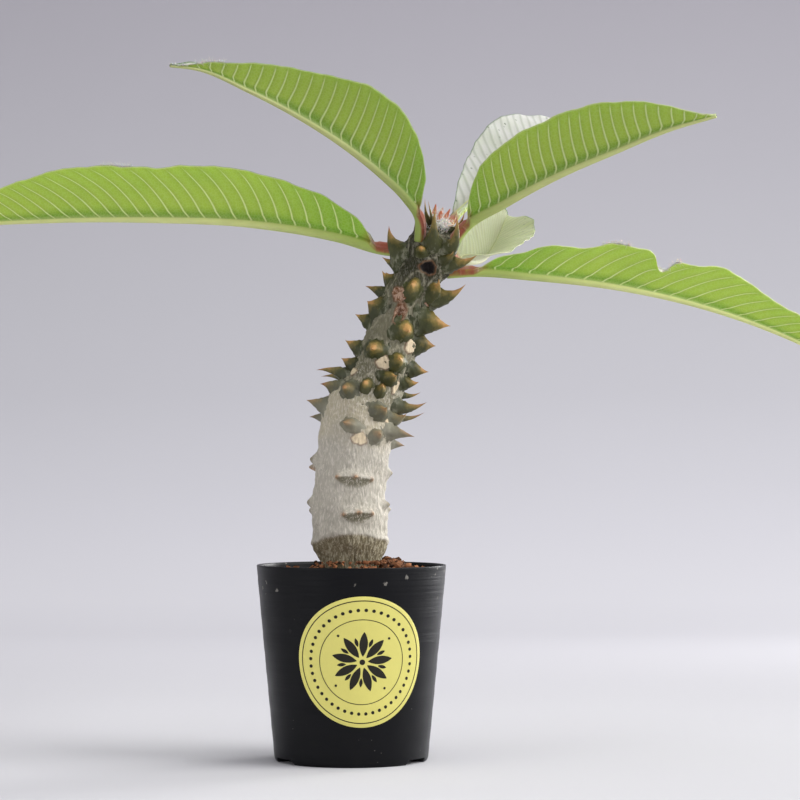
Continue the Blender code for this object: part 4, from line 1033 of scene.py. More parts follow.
def make_pot(pot):
    """The pot: a rounded profile turned round Z, rippled by sines of the height, its foot notched."""
    foot_inner = pot.foot_radius - FOOT_WIDTH - FOOT_CHAMFER
    floor_edge = pot_radius(pot, FLOOR_TOP) - WALL
    below_rim = pot.height - 0.004
    profile = (
        (NEAR_AXIS, 0.0),
        (CENTRE_PAD_RADIUS, 0.0),
        (CENTRE_PAD_RADIUS + FOOT_CHAMFER, RECESS_TOP),
        (foot_inner - FOOT_CHAMFER, RECESS_TOP),
        (foot_inner, 0.0),
        (pot.foot_radius - 0.4 * FOOT_CHAMFER, 0.0),
        (pot_radius(pot, FOOT_CHAMFER), FOOT_CHAMFER),
        (pot.mouth_radius, pot.height),
        (pot.mouth_radius - WALL, pot.height),
        (pot_radius(pot, below_rim) - WALL, below_rim),
        (floor_edge, FLOOR_TOP + FOOT_CHAMFER),
        (floor_edge - FOOT_CHAMFER, FLOOR_TOP),
        (NEAR_AXIS, FLOOR_TOP),
    )
    profile = refined(rounded(profile, CORNER_REACH), PROFILE_STEP)
    azimuths = np.arange(POT_SIDES) * 360.0 / POT_SIDES
    radius, height = profile[:, :1], profile[:, 1:] + 0.0 * azimuths
    outside = smooth_step(0.0, 0.004, radius - 0.75 * pot_radius(pot, height))
    outside = outside * smooth_step(0.002, 0.006, height)
    rings = np.sin(height / 0.0021) + 0.6 * np.sin(height / 0.00083 + 1.0)
    wobble = POT_WOBBLE * np.sin(np.radians(2 * azimuths + 40.0)) * smooth_step(0.05, 0.09, height)
    radius = radius + outside * (pot.ripple * rings + wobble)
    lift = np.zeros_like(height)
    half, blend = 0.5 * NOTCH_WIDTH, 0.0006
    for azimuth in NOTCH_AZIMUTHS:
        across = np.radians(np.abs(turned(azimuths - azimuth))) * pot.foot_radius
        lift = np.maximum(lift, NOTCH_HEIGHT * smooth_step(half + blend, half - blend, across))
    at_foot = radius > foot_inner - 0.6 * FOOT_CHAMFER
    height = np.where(at_foot, np.maximum(height, lift), height)
    grid = around(azimuths)[None] * radius[..., None] + up_by(height)
    skin = closed_skins(grid[None], np.zeros((1, 3)), up_by([FLOOR_TOP]))
    made = piece("pot_shell", *skin, [plastic_finish(pot)], sharp=50.0)
    drill(made)
    place_piece(made, "pot_plastic", "pot")


def drill(made):
    """Cuts the drain holes through the pot's floor with one Boolean of round bars."""
    middles = around(np.arange(DRAIN_HOLES) * 360.0 / DRAIN_HOLES) * DRAIN_RING_RADIUS
    ring = around(np.arange(DRAIN_SIDES) * 360.0 / DRAIN_SIDES) * DRAIN_RADIUS
    levels = up_by([RECESS_TOP - 0.002, FLOOR_TOP + 0.002])
    grids = middles[:, None, None] + levels[None, :, None] + ring[None, None]
    cutter = piece("drain_cutter", *closed_skins(grids, middles + levels[0], middles + levels[1]), [])
    modifier = made.modifiers.new("drain", "BOOLEAN")
    modifier.operation = "DIFFERENCE"
    modifier.solver = "EXACT"
    modifier.object = cutter
    bpy.context.view_layer.update()
    graph = bpy.context.evaluated_depsgraph_get()
    cut = bpy.data.meshes.new_from_object(made.evaluated_get(graph))
    if len(cut.vertices) <= len(made.data.vertices):
        raise RuntimeError("the drain holes were not cut")
    made.modifiers.clear()
    made.data = cut
    bpy.data.objects.remove(cutter, do_unlink=True)


def on_label(pot, flat, lift):
    """Points lifted off the pot's cone, from (arc round it, rise up its slope) off the label's middle."""
    lean = math.atan2(pot.mouth_radius - pot.foot_radius, pot.height)
    height = pot.label_height + flat[..., 1] * math.cos(lean)
    azimuth = pot.label_azimuth + np.degrees(flat[..., 0] / pot_radius(pot, pot.label_height))
    out = around(azimuth) * (pot_radius(pot, height) + lift * math.cos(lean))[..., None]
    return out + up_by(height - lift * math.sin(lean))


def compass(degrees):
    """Unit (arc, rise) vectors, clockwise from straight up."""
    angle = np.radians(degrees)
    return np.stack([np.sin(angle), np.cos(angle)], -1)


def make_label(pot):
    """The label: a disc of paper on the pot's cone, ring by ring from its back to its face."""
    edge, face, back, thin = pot.label_radius, FIT_GAP + LABEL_THICKNESS, FIT_GAP, 0.00005
    inner = np.linspace(0.002, edge - 0.0001, 16)
    radii = np.array([*inner, edge, edge, *inner[::-1]])
    lifts = np.array([*[back] * 16, back + thin, face - thin, *[face] * 16])
    grid = on_label(pot, radii[:, None, None] * compass(np.arange(180) * 2.0), lifts[:, None])
    middle = on_label(pot, np.zeros((2, 2)), np.array([back, face]))
    skin = closed_skins(grid[None], middle[:1], middle[1:])
    made = piece("label_disc", *skin, [paper_finish(pot)], sharp=50.0)
    place_piece(made, "label_paper", "label")


def ink_dots(pot, places, radius):
    """Round dots of ink at these (arc, rise) places, from the ink's foot to its top."""
    angle = math.radians(LABEL_TILT)
    tilt = np.array([[math.cos(angle), -math.sin(angle)], [math.sin(angle), math.cos(angle)]])
    outlines = places[:, None] + radius * compass(np.arange(20) * 18.0)[None]
    rows = [on_label(pot, outlines @ tilt, level) for level in (INK_FOOT, INK_TOP)]
    poles = [on_label(pot, places @ tilt, level) for level in (INK_FOOT, INK_TOP)]
    return closed_skins(np.stack(rows, 1), *poles)


def petals(pot, start, near, far, width):
    """Leaf shapes round the middle: strips whose half width is width times sin(pi t)^0.8, near to far."""
    t = np.linspace(0.02, 0.98, 14)
    along = compass(start + LABEL_TILT + np.arange(ROSETTE_LEAVES) * 360.0 / ROSETTE_LEAVES)[:, None, None]
    across = np.stack([along[..., 1], -along[..., 0]], -1)
    half = (width * np.sin(np.pi * t) ** 0.8)[None, :, None, None]
    column = np.array([-1.0, -0.5, 0.0, 0.5, 1.0, 1.0, 0.5, 0.0, -0.5, -1.0])[None, None, :, None]
    flat = along * (near + (far - near) * t)[None, :, None, None] + across * half * column
    lift = np.where(np.arange(10) < 5, INK_TOP, INK_FOOT)
    ends = [on_label(pot, along[:, 0, 0] * reach, INK_FOOT) for reach in (near, far)]
    return closed_skins(on_label(pot, flat, lift), *ends)


def band(pot, radius, width):
    """A thin ring of ink: four edges carried round the label's middle, closed on itself."""
    radii = radius + 0.5 * width * np.array([-1.0, 1.0, 1.0, -1.0])[:, None]
    lifts = np.array([INK_TOP, INK_TOP, INK_FOOT, INK_FOOT])
    points = on_label(pot, compass(np.arange(240) * 1.5)[:, None] * radii, lifts).reshape(-1, 3)
    index = np.arange(960).reshape(240, 4)
    beside = np.roll(index, -1, axis=1)
    after = [np.roll(corner, -1, axis=0) for corner in (beside, index)]
    quads = np.stack([index, beside, *after], -1).reshape(-1, 4)
    none = np.zeros((0, 3), int)
    return points, quads if volume(points, quads, none) > 0 else quads[:, ::-1], none


def joined(parts):
    """Several sets of points, quads and triangles as one."""
    shifts = np.cumsum([0] + [len(part[0]) for part in parts[:-1]])
    points = np.concatenate([part[0] for part in parts])
    faces = [np.concatenate([part[i] + shift for part, shift in zip(parts, shifts)]) for i in (1, 2)]
    return points, *faces


def make_print(pot):
    """The label's print: border, ring of dots, inner ring, and a rosette of two sizes of leaf round a dot."""
    parts = [
        band(pot, BORDER_RADIUS, 0.00045),
        band(pot, INNER_RING_RADIUS, 0.00035),
        ink_dots(pot, compass(np.arange(DOT_COUNT) * 360.0 / DOT_COUNT) * DOT_RING_RADIUS, 0.00080),
        ink_dots(pot, compass(np.arange(4) * 90.0 + 45.0) * 0.0163, 0.00060),
        ink_dots(pot, np.zeros((1, 2)), 0.0013),
        petals(pot, 0.0, 0.0026, 0.0140, 0.0019),
        petals(pot, 180.0 / ROSETTE_LEAVES, 0.0074, 0.0116, 0.0008),
    ]
    made = piece("label_print", *joined(parts), [ink_finish(pot)], sharp=50.0)
    place_piece(made, "label_paper")


def soil_level(radius, azimuth):
    """The mix's level: flat, with a mound against one side of the stem that falls off as a bell."""
    towards = np.cos(np.radians(azimuth - SOIL_MOUND_AZIMUTH))
    mound = SOIL_MOUND * np.maximum(0.0, 0.35 + 0.65 * towards)
    return SOIL_LEVEL + mound * bell((radius - 0.019) / 0.010)


def make_soil(pot, soil):
    """The mix: a lumpy surface of waves over the mound, closed down the wall, with crumbs scattered on it."""
    edge = pot_radius(pot, SOIL_LEVEL) - WALL - FIT_GAP - 0.0002
    floor_edge = pot_radius(pot, FLOOR_TOP) - WALL - FIT_GAP - FOOT_CHAMFER
    top = np.linspace(edge - 0.0005, SOIL_HOLE, 46)
    radius = np.concatenate([[floor_edge, edge, edge], top, [SOIL_HOLE - 0.0006]])
    radius, azimuth = np.meshgrid(radius, np.arange(180) * 2.0, indexing="ij")
    flat = around(azimuth) * radius[..., None]
    lumps = ripples(flat, 0.0060, SEED) + 0.8 * ripples(flat, 0.0022, SEED + 1)
    lumps = lumps + 0.5 * ripples(flat, 0.0010, SEED + 2)
    height = soil_level(radius, azimuth) + soil.roughness * lumps * 0.6
    height[:3] = np.array([[FLOOR_TOP + FIT_GAP], [SOIL_LEVEL - 0.004], [SOIL_LEVEL - 0.0012]])
    height[-1] = SOIL_PLUG
    body = closed_skins((flat + up_by(height))[None], up_by([FLOOR_TOP + FIT_GAP]), up_by([SOIL_PLUG]))
    *crumbs, crumb_tone = soil_crumbs(soil, edge)
    tone = np.concatenate([0.35 + 0.15 * ripples(body[0], 0.003, SEED + 3), crumb_tone])
    finishes = [mix_finish(soil)]
    made = piece("potting_mix_top", *joined([body, crumbs]), finishes, {"tone": tone}, sharp=35.0)
    place_piece(made, "potting_mix", "soil")


def soil_crumbs(soil, edge):
    """Crumbs of bark: small rough blocks, each a turned and stretched grid, thicker on the mound.

    The first PILED_CHIPS of them are heaped against the stem, most of them to its right.
    """
    draw = np.random.default_rng(SEED + 4)
    count = CHIP_COUNT
    heaped = draw.uniform(size=count) < 0.55
    on_mound = SOIL_MOUND_AZIMUTH + draw.normal(0.0, 48.0, count)
    azimuth = np.where(heaped, on_mound, draw.uniform(0.0, 360.0, count))
    on_mound = CRUMBS_FROM + np.abs(draw.normal(0.0, 0.007, count))
    radius = np.where(heaped, on_mound, draw.uniform(CRUMBS_FROM, edge, count))
    radius = np.minimum(radius, edge - 0.0024)
    size = soil.chip_length * (0.16 + 0.84 * draw.uniform(size=count) ** 3)
    piled = np.arange(count) < PILED_CHIPS
    high_up = draw.uniform(size=count) ** 0.7
    right = draw.uniform(size=count) < 0.82
    side = np.where(right, draw.normal(60.0, 28.0, count), draw.normal(-40.0, 12.0, count))
    azimuth = np.where(piled, side, azimuth)
    radius = np.where(piled, SOIL_HOLE + 0.0068 - 0.0058 * high_up, radius)
    size = np.where(piled, soil.chip_length * draw.uniform(0.20, 0.52, count), size)
    height = soil_level(radius, azimuth) + 0.16 * size
    height = np.where(piled, np.clip(height + PILE_HEIGHT * high_up, height, PILE_TOP), height)
    middles = around(azimuth) * radius[:, None] + up_by(height)
    turns = unit(draw.normal(size=(count, 3)) + np.array([0.0, 0.0, 1.2]))
    sideways = unit(np.cross(turns, draw.normal(size=(count, 3))))
    third = np.cross(turns, sideways)
    angle = np.arange(6) * 2 * math.pi / 6
    spread = np.array([0.72, 1.0, 0.66])[None, :, None] * draw.uniform(0.7, 1.25, (count, 3, 6))
    axis = np.array([-0.32, 0.0, 0.34])[None, :, None] + draw.uniform(-0.08, 0.08, (count, 3, 6))
    flatness = draw.uniform(0.28, 0.60, (count, 1, 1))
    grid = middles[:, None, None] + size[:, None, None, None] * (
        (0.5 * spread * np.cos(angle))[..., None] * sideways[:, None, None]
        + axis[..., None] * third[:, None, None]
        + (0.5 * spread * np.sin(angle) * flatness)[..., None] * turns[:, None, None]
    )
    ends = [middles + share * size[:, None] * third for share in (-0.40, 0.42)]
    tone = draw.uniform(0.0, 1.0, (count, 1, 1))
    return *closed_skins(grid, *ends), pole_values(tone, grid.shape[:3])


def stem_frame(parameters):
    """Centre, radius, and the tangent, front and right directions of the stem at these parameters."""
    at = np.asarray(parameters, float)
    step = 1e-4
    values = smooth_curve(STEM_LINE, at)
    ahead = smooth_curve(STEM_LINE, np.minimum(at + step, 1.0))
    behind = smooth_curve(STEM_LINE, np.maximum(at - step, 0.0))
    tangent = unit(ahead[..., :3] - behind[..., :3])
    front = np.broadcast_to([0.0, -1.0, 0.0], tangent.shape)
    right = unit(np.cross(tangent, front))
    return values[..., :3], values[..., 3], tangent, front, right


def stem_parameter(heights):
    """The parameters at which the stem's centre line passes these heights."""
    fine = np.linspace(0.0, 1.0, 400)
    return np.interp(heights, smooth_curve(STEM_LINE, fine)[:, 2], fine)


def on_stem(azimuths, heights):
    """Points of the stem's smooth surface, with their outward, upward and sideways directions and radii."""
    centre, radius, tangent, front, right = stem_frame(stem_parameter(heights))
    angle = np.radians(azimuths)[..., None]
    out = np.cos(angle) * front + np.sin(angle) * right
    side = np.cos(angle) * right - np.sin(angle) * front
    return centre + radius[..., None] * out, out, tangent, side, radius


def scar_places():
    """Every leaf scar as azimuth, height and whether it is old, on two spirals up the stem."""
    places = []
    height, azimuth = SPINY_TOP, FIRST_AZIMUTH
    while height >= SPINY_BOTTOM:
        places.append((azimuth, height, False))
        step = np.interp(height, (SPINY_BOTTOM, SPINY_TOP), (SPINY_STEP_BOTTOM, SPINY_STEP_TOP))
        height, azimuth = height - step, azimuth + SPINY_TURN
    height, azimuth = OLD_TOP, FIRST_AZIMUTH
    while height >= OLD_BOTTOM:
        places.append((azimuth, height, height < RIDGES_BELOW))
        height, azimuth = height - OLD_STEP, azimuth + OLD_TURN
    return places


def midrib(leaf):
    """A leaf's midrib points, which start at the top of its cushion on the stem."""
    foot, out, *_ = on_stem(*leaf["seat"])
    return np.array([foot + CUSHION_RISE * out, *leaf["midrib"]])


def clear_of_stalks(foot, tip, width):
    """Whether a spine along this line stays clear of every leaf's stalk."""
    share = np.linspace(0.0, 1.0, 12)
    along = foot + share[:, None] * (tip - foot)
    thick = width * (1.0 - share)
    for leaf in LEAVES.values():
        stalk = smooth_curve(midrib(leaf), np.linspace(0.0, 0.16, 24))
        apart = np.linalg.norm(along[:, None] - stalk[None], axis=2) - thick[:, None]
        if apart.min() < leaf["petiole_radius"] + CLEAR_OF_STALKS:
            return False
    return True


def back_spines():
    """The spines round the back, by the solid's spiral rule, as rows like those of FRONT_SPINES in metres.

    A pair stands above each scar, longer and steeper up the stem, and a broad pair under each leaf. Each
    bends towards the sky. The same seeded draw as in the solid sets the jitter.
    """
    draw = np.random.default_rng(SEED)
    places = []
    for azimuth, height, old in scar_places():
        if old:
            draw.uniform(0.88, 1.08)
            continue
        apart = math.degrees(SPINE_SIDE_OFFSET / float(on_stem(azimuth, height)[4]))
        share = float(np.clip((height - SPINY_BOTTOM) / (SPINY_TOP - SPINY_BOTTOM), 0.0, 1.0))
        for side in (-1, 1):
            up, longer, steeper = draw.uniform(-1.0, 1.0, 3)
            length = between(height, SPINE_LENGTHS) * (1 + 0.16 * longer)
            rise = -6.0 + 34.0 * share + 7.0 * steeper
            level = height + SPINE_RISE + 0.0006 * up
            size = 0.90 + 0.18 * share
            places.append((azimuth + side * apart, level, length, rise, size, 0.55 * share**2, 0.5))
    for leaf in LEAVES.values():
        azimuth, height = leaf["seat"]
        level = min(height + CROWN_SPINE_UP, CROWN_SPINE_TOP)
        length, rise = between(level, CROWN_LENGTH), between(level, CROWN_RISE)
        for side in (-1, 1):
            places.append((azimuth + side * CROWN_SPREAD, level, length, rise, CROWN_SIZE, 0.9, -0.1))
    rows = []
    for azimuth, height, length, rise, size, youth, roundness in places:
        if abs(turned(azimuth)) < BACK_SPINES_FROM:
            continue
        foot, out, *_ = on_stem(azimuth, height)
        angles = np.radians([rise, rise + SPINE_BEND])
        ways = unit(np.cos(angles)[:, None] * out + up_by(np.sin(angles)))
        tip = foot + 0.5 * length * ways.sum(0)
        if clear_of_stalks(foot, tip, 0.0026):
            sizes = SPINE_HALF_HEIGHT * size, SPINE_HALF_WIDTH * size
            rows.append((turned(azimuth), height, *tip, *sizes, youth, roundness))
    return rows


def all_spines():
    """Azimuths, heights, tips, half heights, half widths, youths and roundnesses of every spine."""
    front = np.array(FRONT_SPINES)
    front[:, 1:7] *= 0.001
    table = np.concatenate([front, back_spines()])
    return table[:, 0], table[:, 1], table[:, 2:5], *table[:, 5:].T


def make_spines(spines):
    """Spines: an ellipse carried along a curve that leaves the bark square and ends at the tip.

    The half width at share t is 0.86 (1 - t^p)^q + 0.14 (1 - t)^0.8, so a broad base narrows to a needle. The
    roundness sets p and q, and the base flares where it meets the bark.
    """
    columns = all_spines()
    pointed = columns[-1] < KNOB
    azimuth, height, tips, half_height, half_width, youth, roundness = (column[pointed] for column in columns)
    foot, out, tangent, side, _ = on_stem(azimuth, height)
    base = foot - SPINE_ROOT * out
    reach = np.linalg.norm(tips - foot, axis=1)
    knee = foot + (0.50 * reach)[:, None] * unit(out + 0.12 * tangent)
    t = np.linspace(0.0, 0.99, SPINE_RINGS) ** 0.92
    share = t[None, :, None]
    before, middle, after = base[:, None], knee[:, None], tips[:, None]
    centre = (1 - share) ** 2 * before + 2 * share * (1 - share) * middle + share**2 * after
    forward = unit(2 * (1 - share) * (middle - before) + 2 * share * (after - middle))
    across = unit(side[:, None] - (side[:, None] * forward).sum(-1, keepdims=True) * forward)
    tall = np.cross(forward, across)
    power = 1.0 + 0.9 * np.clip(roundness, 0.0, 1.0)[:, None]
    fall = 1.55 + 0.35 * roundness[:, None]
    body = 0.86 * (1 - t[None] ** power) ** fall + 0.14 * (1 - t[None]) ** 0.8
    body = (body + 0.20 * (1 - smooth_step(0.06, 0.34, t))[None])[..., None]
    angle = np.arange(SPINE_SIDES) * 2 * math.pi / SPINE_SIDES
    keel = 1.0 + 0.10 * np.cos(2 * angle) - 0.05 * np.cos(4 * angle)
    high = (spines.height_scale * half_height)[:, None, None] * body * np.cos(angle) * keel
    wide = (spines.width_scale * half_width)[:, None, None] * body * np.sin(angle)
    grid = centre[:, :, None] + high[..., None] * tall[:, :, None] + wide[..., None] * across[:, :, None]
    rough = 0.00042 * ripples(grid, 0.0030, SEED + 5) + 0.00014 * ripples(grid, 0.0011, SEED + 13)
    grid = grid + (rough * (1 - t)[None, :, None])[..., None] * (grid - centre[:, :, None]) / 0.003
    values = {
        "along": t[None, :, None],
        "blunt": smooth_step(0.1, 0.5, roundness)[:, None, None],
        "youth": youth[:, None, None],
        "tone": np.random.default_rng(SEED + 6).uniform(0.0, 1.0, (len(reach), 1, 1)),
        # Which side of a spine faces up, for its painted light
        "above": np.cos(angle),
        "height": height[:, None, None],
    }
    values = {key: pole_values(value, grid.shape[:3]) for key, value in values.items()}
    values["along"][-len(reach):] = 1.0
    made = piece("spines", *closed_skins(grid, base, tips), [spine_finish(spines)], values)
    place_piece(made, "bark")


def apart_on_stem(azimuths, heights, radius, azimuth, height):
    """Arc and rise in metres from one place on the stem to a grid of places."""
    return np.radians(turned(azimuths - azimuth)) * radius, heights - height


def scar_marks(azimuths, high, wide):
    """The scars' push on the bark, and how much of each point is cork, pit or dried flesh.

    A scar is an ellipse with a wavy edge. Cork stands up as a plate, a hole sinks, and a dried one is rough.
    """
    lift, cork, pit, dried, rim = (np.zeros(high.shape) for _ in range(5))
    rows = list(FRONT_SCARS)
    for azimuth, level, old in scar_places():
        if not old and abs(turned(azimuth)) > BACK_SCARS_FROM:
            rows.append((turned(azimuth), level, 1.2 * SCAR_RADIUS, SCAR_RADIUS, "cork"))
    for number, (azimuth, level, half_width, half_height, kind) in enumerate(rows):
        arc, rise = apart_on_stem(azimuths, high, wide, azimuth, level)
        turn = np.arctan2(rise / half_height, arc / half_width)
        away = np.hypot(arc / half_width, rise / half_height) * (1.0 + 0.09 * np.sin(3.0 * turn + number))
        away = away * (1.0 + 0.05 * np.sin(7.0 * turn + 2.0 * number))
        plate = smooth_step(1.04, 0.86, away)
        edge = bell((away - 1.02) / 0.16)
        rim = np.maximum(rim, edge)
        if kind == "cork":
            lift += 0.00055 * plate - 0.00018 * bell(away / 0.3) + 0.00025 * edge
            cork = np.maximum(cork, plate)
        elif kind == "hole":
            lift += 0.00050 * edge - 0.00240 * smooth_step(0.95, 0.35, away)
            pit = np.maximum(pit, smooth_step(0.98, 0.78, away))
        elif kind == "hollow":
            lift += 0.00090 * edge - 0.00080 * smooth_step(0.9, 0.4, away)
            dried = np.maximum(dried, plate)
            pit = np.maximum(pit, 0.45 * smooth_step(0.7, 0.2, away))
        else:
            lift += 0.00110 * plate
            dried = np.maximum(dried, plate)
    return lift, cork, pit, dried, rim


def ridge_marks(azimuths, high, wide):
    """The old leaf bases' push on the bark, the lens of painted shade under each, and its corky upper edge
    with nubs.

    Above its edge a ridge fades as a bell of the height. Below, it falls away over a lens whose depth is
    one less the square of the place along the ridge.
    """
    lift, under, nubs = (np.zeros(high.shape) for _ in range(3))
    rows = list(FRONT_RIDGES)
    for azimuth, level, old in scar_places():
        if old and abs(turned(azimuth)) > BACK_RIDGES_FROM:
            rows.append((turned(azimuth), level, RIDGE_HALF_LENGTH))
    for azimuth, level, half_length in rows:
        arc, rise = apart_on_stem(azimuths, high, wide, azimuth, level)
        place = arc / half_length
        edge = rise + 0.0011 * place * place
        lens = np.maximum(1.0 - place * place, 0.0)
        depth = RIDGE_DROP * np.maximum(lens, 0.15)
        above = bell(edge / 0.0026)
        below = np.clip(1.0 + edge / depth, 0.0, 1.0) ** 1.4
        swell = np.where(edge > 0.0, above, below) * smooth_step(0.0, 0.45, lens)
        lift += 0.0023 * swell
        # Where painted shade lies: just below the ridge's edge, fading down the lens
        inside = smooth_step(0.0006, -0.0003, edge) * smooth_step(-1.15, -0.50, edge / depth)
        under = np.maximum(under, inside * smooth_step(0.02, 0.35, lens))
        for spot, size in ((-0.84, 0.0012), (0.0, 0.0012), (0.84, 0.0013)):
            nub = bell(np.hypot((arc - spot * half_length) / size, (edge - 0.0004) / (0.8 * size)))
            lift += 0.0013 * nub
            nubs = np.maximum(nubs, nub)
    return lift, under, nubs


def make_stem(stem):
    """The bark: rings round the stem's centre line, moved out by spines' feet, scars, ridges and wrinkles.

    Each spine's foot is a bell. The trunk steps in below the collar, whose edge stands highest at the front.
    """
    parameters = np.linspace(0.0, 1.0, STEM_RINGS)
    centre, radius, _, front, right = stem_frame(parameters)
    azimuths = np.arange(STEM_SIDES) * 360.0 / STEM_SIDES
    angle = np.radians(azimuths)[None, :, None]
    out = np.cos(angle) * front[:, None] + np.sin(angle) * right[:, None]
    base = centre[:, None] + radius[:, None, None] * out
    high = centre[:, 2:] + 0.0 * azimuths
    wide = radius[:, None]
    lift, fold, knobs = (np.zeros(high.shape) for _ in range(3))
    for azimuth, level, _, half_height, half_width, _, roundness in zip(*all_spines()):
        arc, rise = apart_on_stem(azimuths, high, wide, azimuth, level)
        away = np.hypot(arc / (1.25 * half_width), rise / (1.20 * half_height))
        if roundness > KNOB:
            knob = bell(1.55 * away)
            lift = np.maximum(lift, 1.05 * half_height * knob)
            knobs = np.maximum(knobs, smooth_step(0.45, 0.95, knob))
            continue
        lift = np.maximum(lift, 0.26 * half_height * bell(away))
        fold = np.maximum(fold, bell((away - 1.26) / 0.13) * smooth_step(0.0022, 0.0036, half_height))
    scars, cork, pit, dried, rim = scar_marks(azimuths, high, wide)
    # The ridges also give the mask of painted shade under each old leaf base
    ridges, under, nubs = ridge_marks(azimuths, high, wide)
    lift += scars + ridges
    for leaf in LEAVES.values():
        arc, rise = apart_on_stem(azimuths, high, wide, *leaf["seat"])
        lift += SEAT_SWELL * bell(np.hypot(arc, rise) / SEAT_REACH)
    shoulder = bell((high - 0.167) / 0.010)
    folds = np.sin(high / 0.00034 + 1.6 * ripples(base, 0.012, SEED + 7))
    upright = ripples(base * np.array([1.0, 1.0, 0.22]), 0.0013, SEED + 8)
    lift += stem.wrinkle * (shoulder * folds + 1.5 * upright * (1.0 - 0.5 * shoulder))
    lift += 0.00035 * ripples(base, 0.016, SEED + 9) + 0.00014 * ripples(base, 0.0045, SEED + 10)
    facing = np.maximum(np.cos(np.radians(azimuths)), 0.0)[None]
    collar = COLLAR_HEIGHT + COLLAR_FRONT_RISE * facing**1.5 + 0.0004 * ripples(base, 0.010, SEED + 11)
    root = smooth_step(0.0008, -0.0010, high - collar)
    lift += 0.0004 * bell((high - collar - 0.0010) / 0.0020)
    lift -= 0.0004 * root + 0.0024 * smooth_step(0.0, 0.009, collar - high)
    lift += root * 0.00022 * ripples(base * np.array([1.0, 1.0, 0.2]), 0.0022, SEED + 14)
    lift *= smooth_step(0.2525, 0.2505, high) * smooth_step(0.066, 0.072, high)
    grid = base + lift[..., None] * out
    values = {
        "height": high, "cork": cork, "pit": pit, "dried": dried, "rim": rim, "under": under, "nubs": nubs,
        "fold": fold, "root": root, "knobs": knobs,
    }
    values = {key: pole_values(value[None]) for key, value in values.items()}
    skin = closed_skins(grid[None], centre[:1], centre[-1:])
    made = piece("stem_bark", *skin, [bark_finish(stem)], values)
    place_piece(made, "bark", "stem")


def leaf_width(leaf, reach):
    """The blade's half width along it, on a smooth curve through the leaf's outline points."""
    at, half = np.array(leaf["outline"]).T
    slopes = np.gradient(half, at)
    slopes[-1] = min(slopes[-1], -half[-2] / (at[-1] - at[-2]))
    return np.maximum(through(at, half[:, None], slopes[:, None], reach)[..., 0], 0.0)


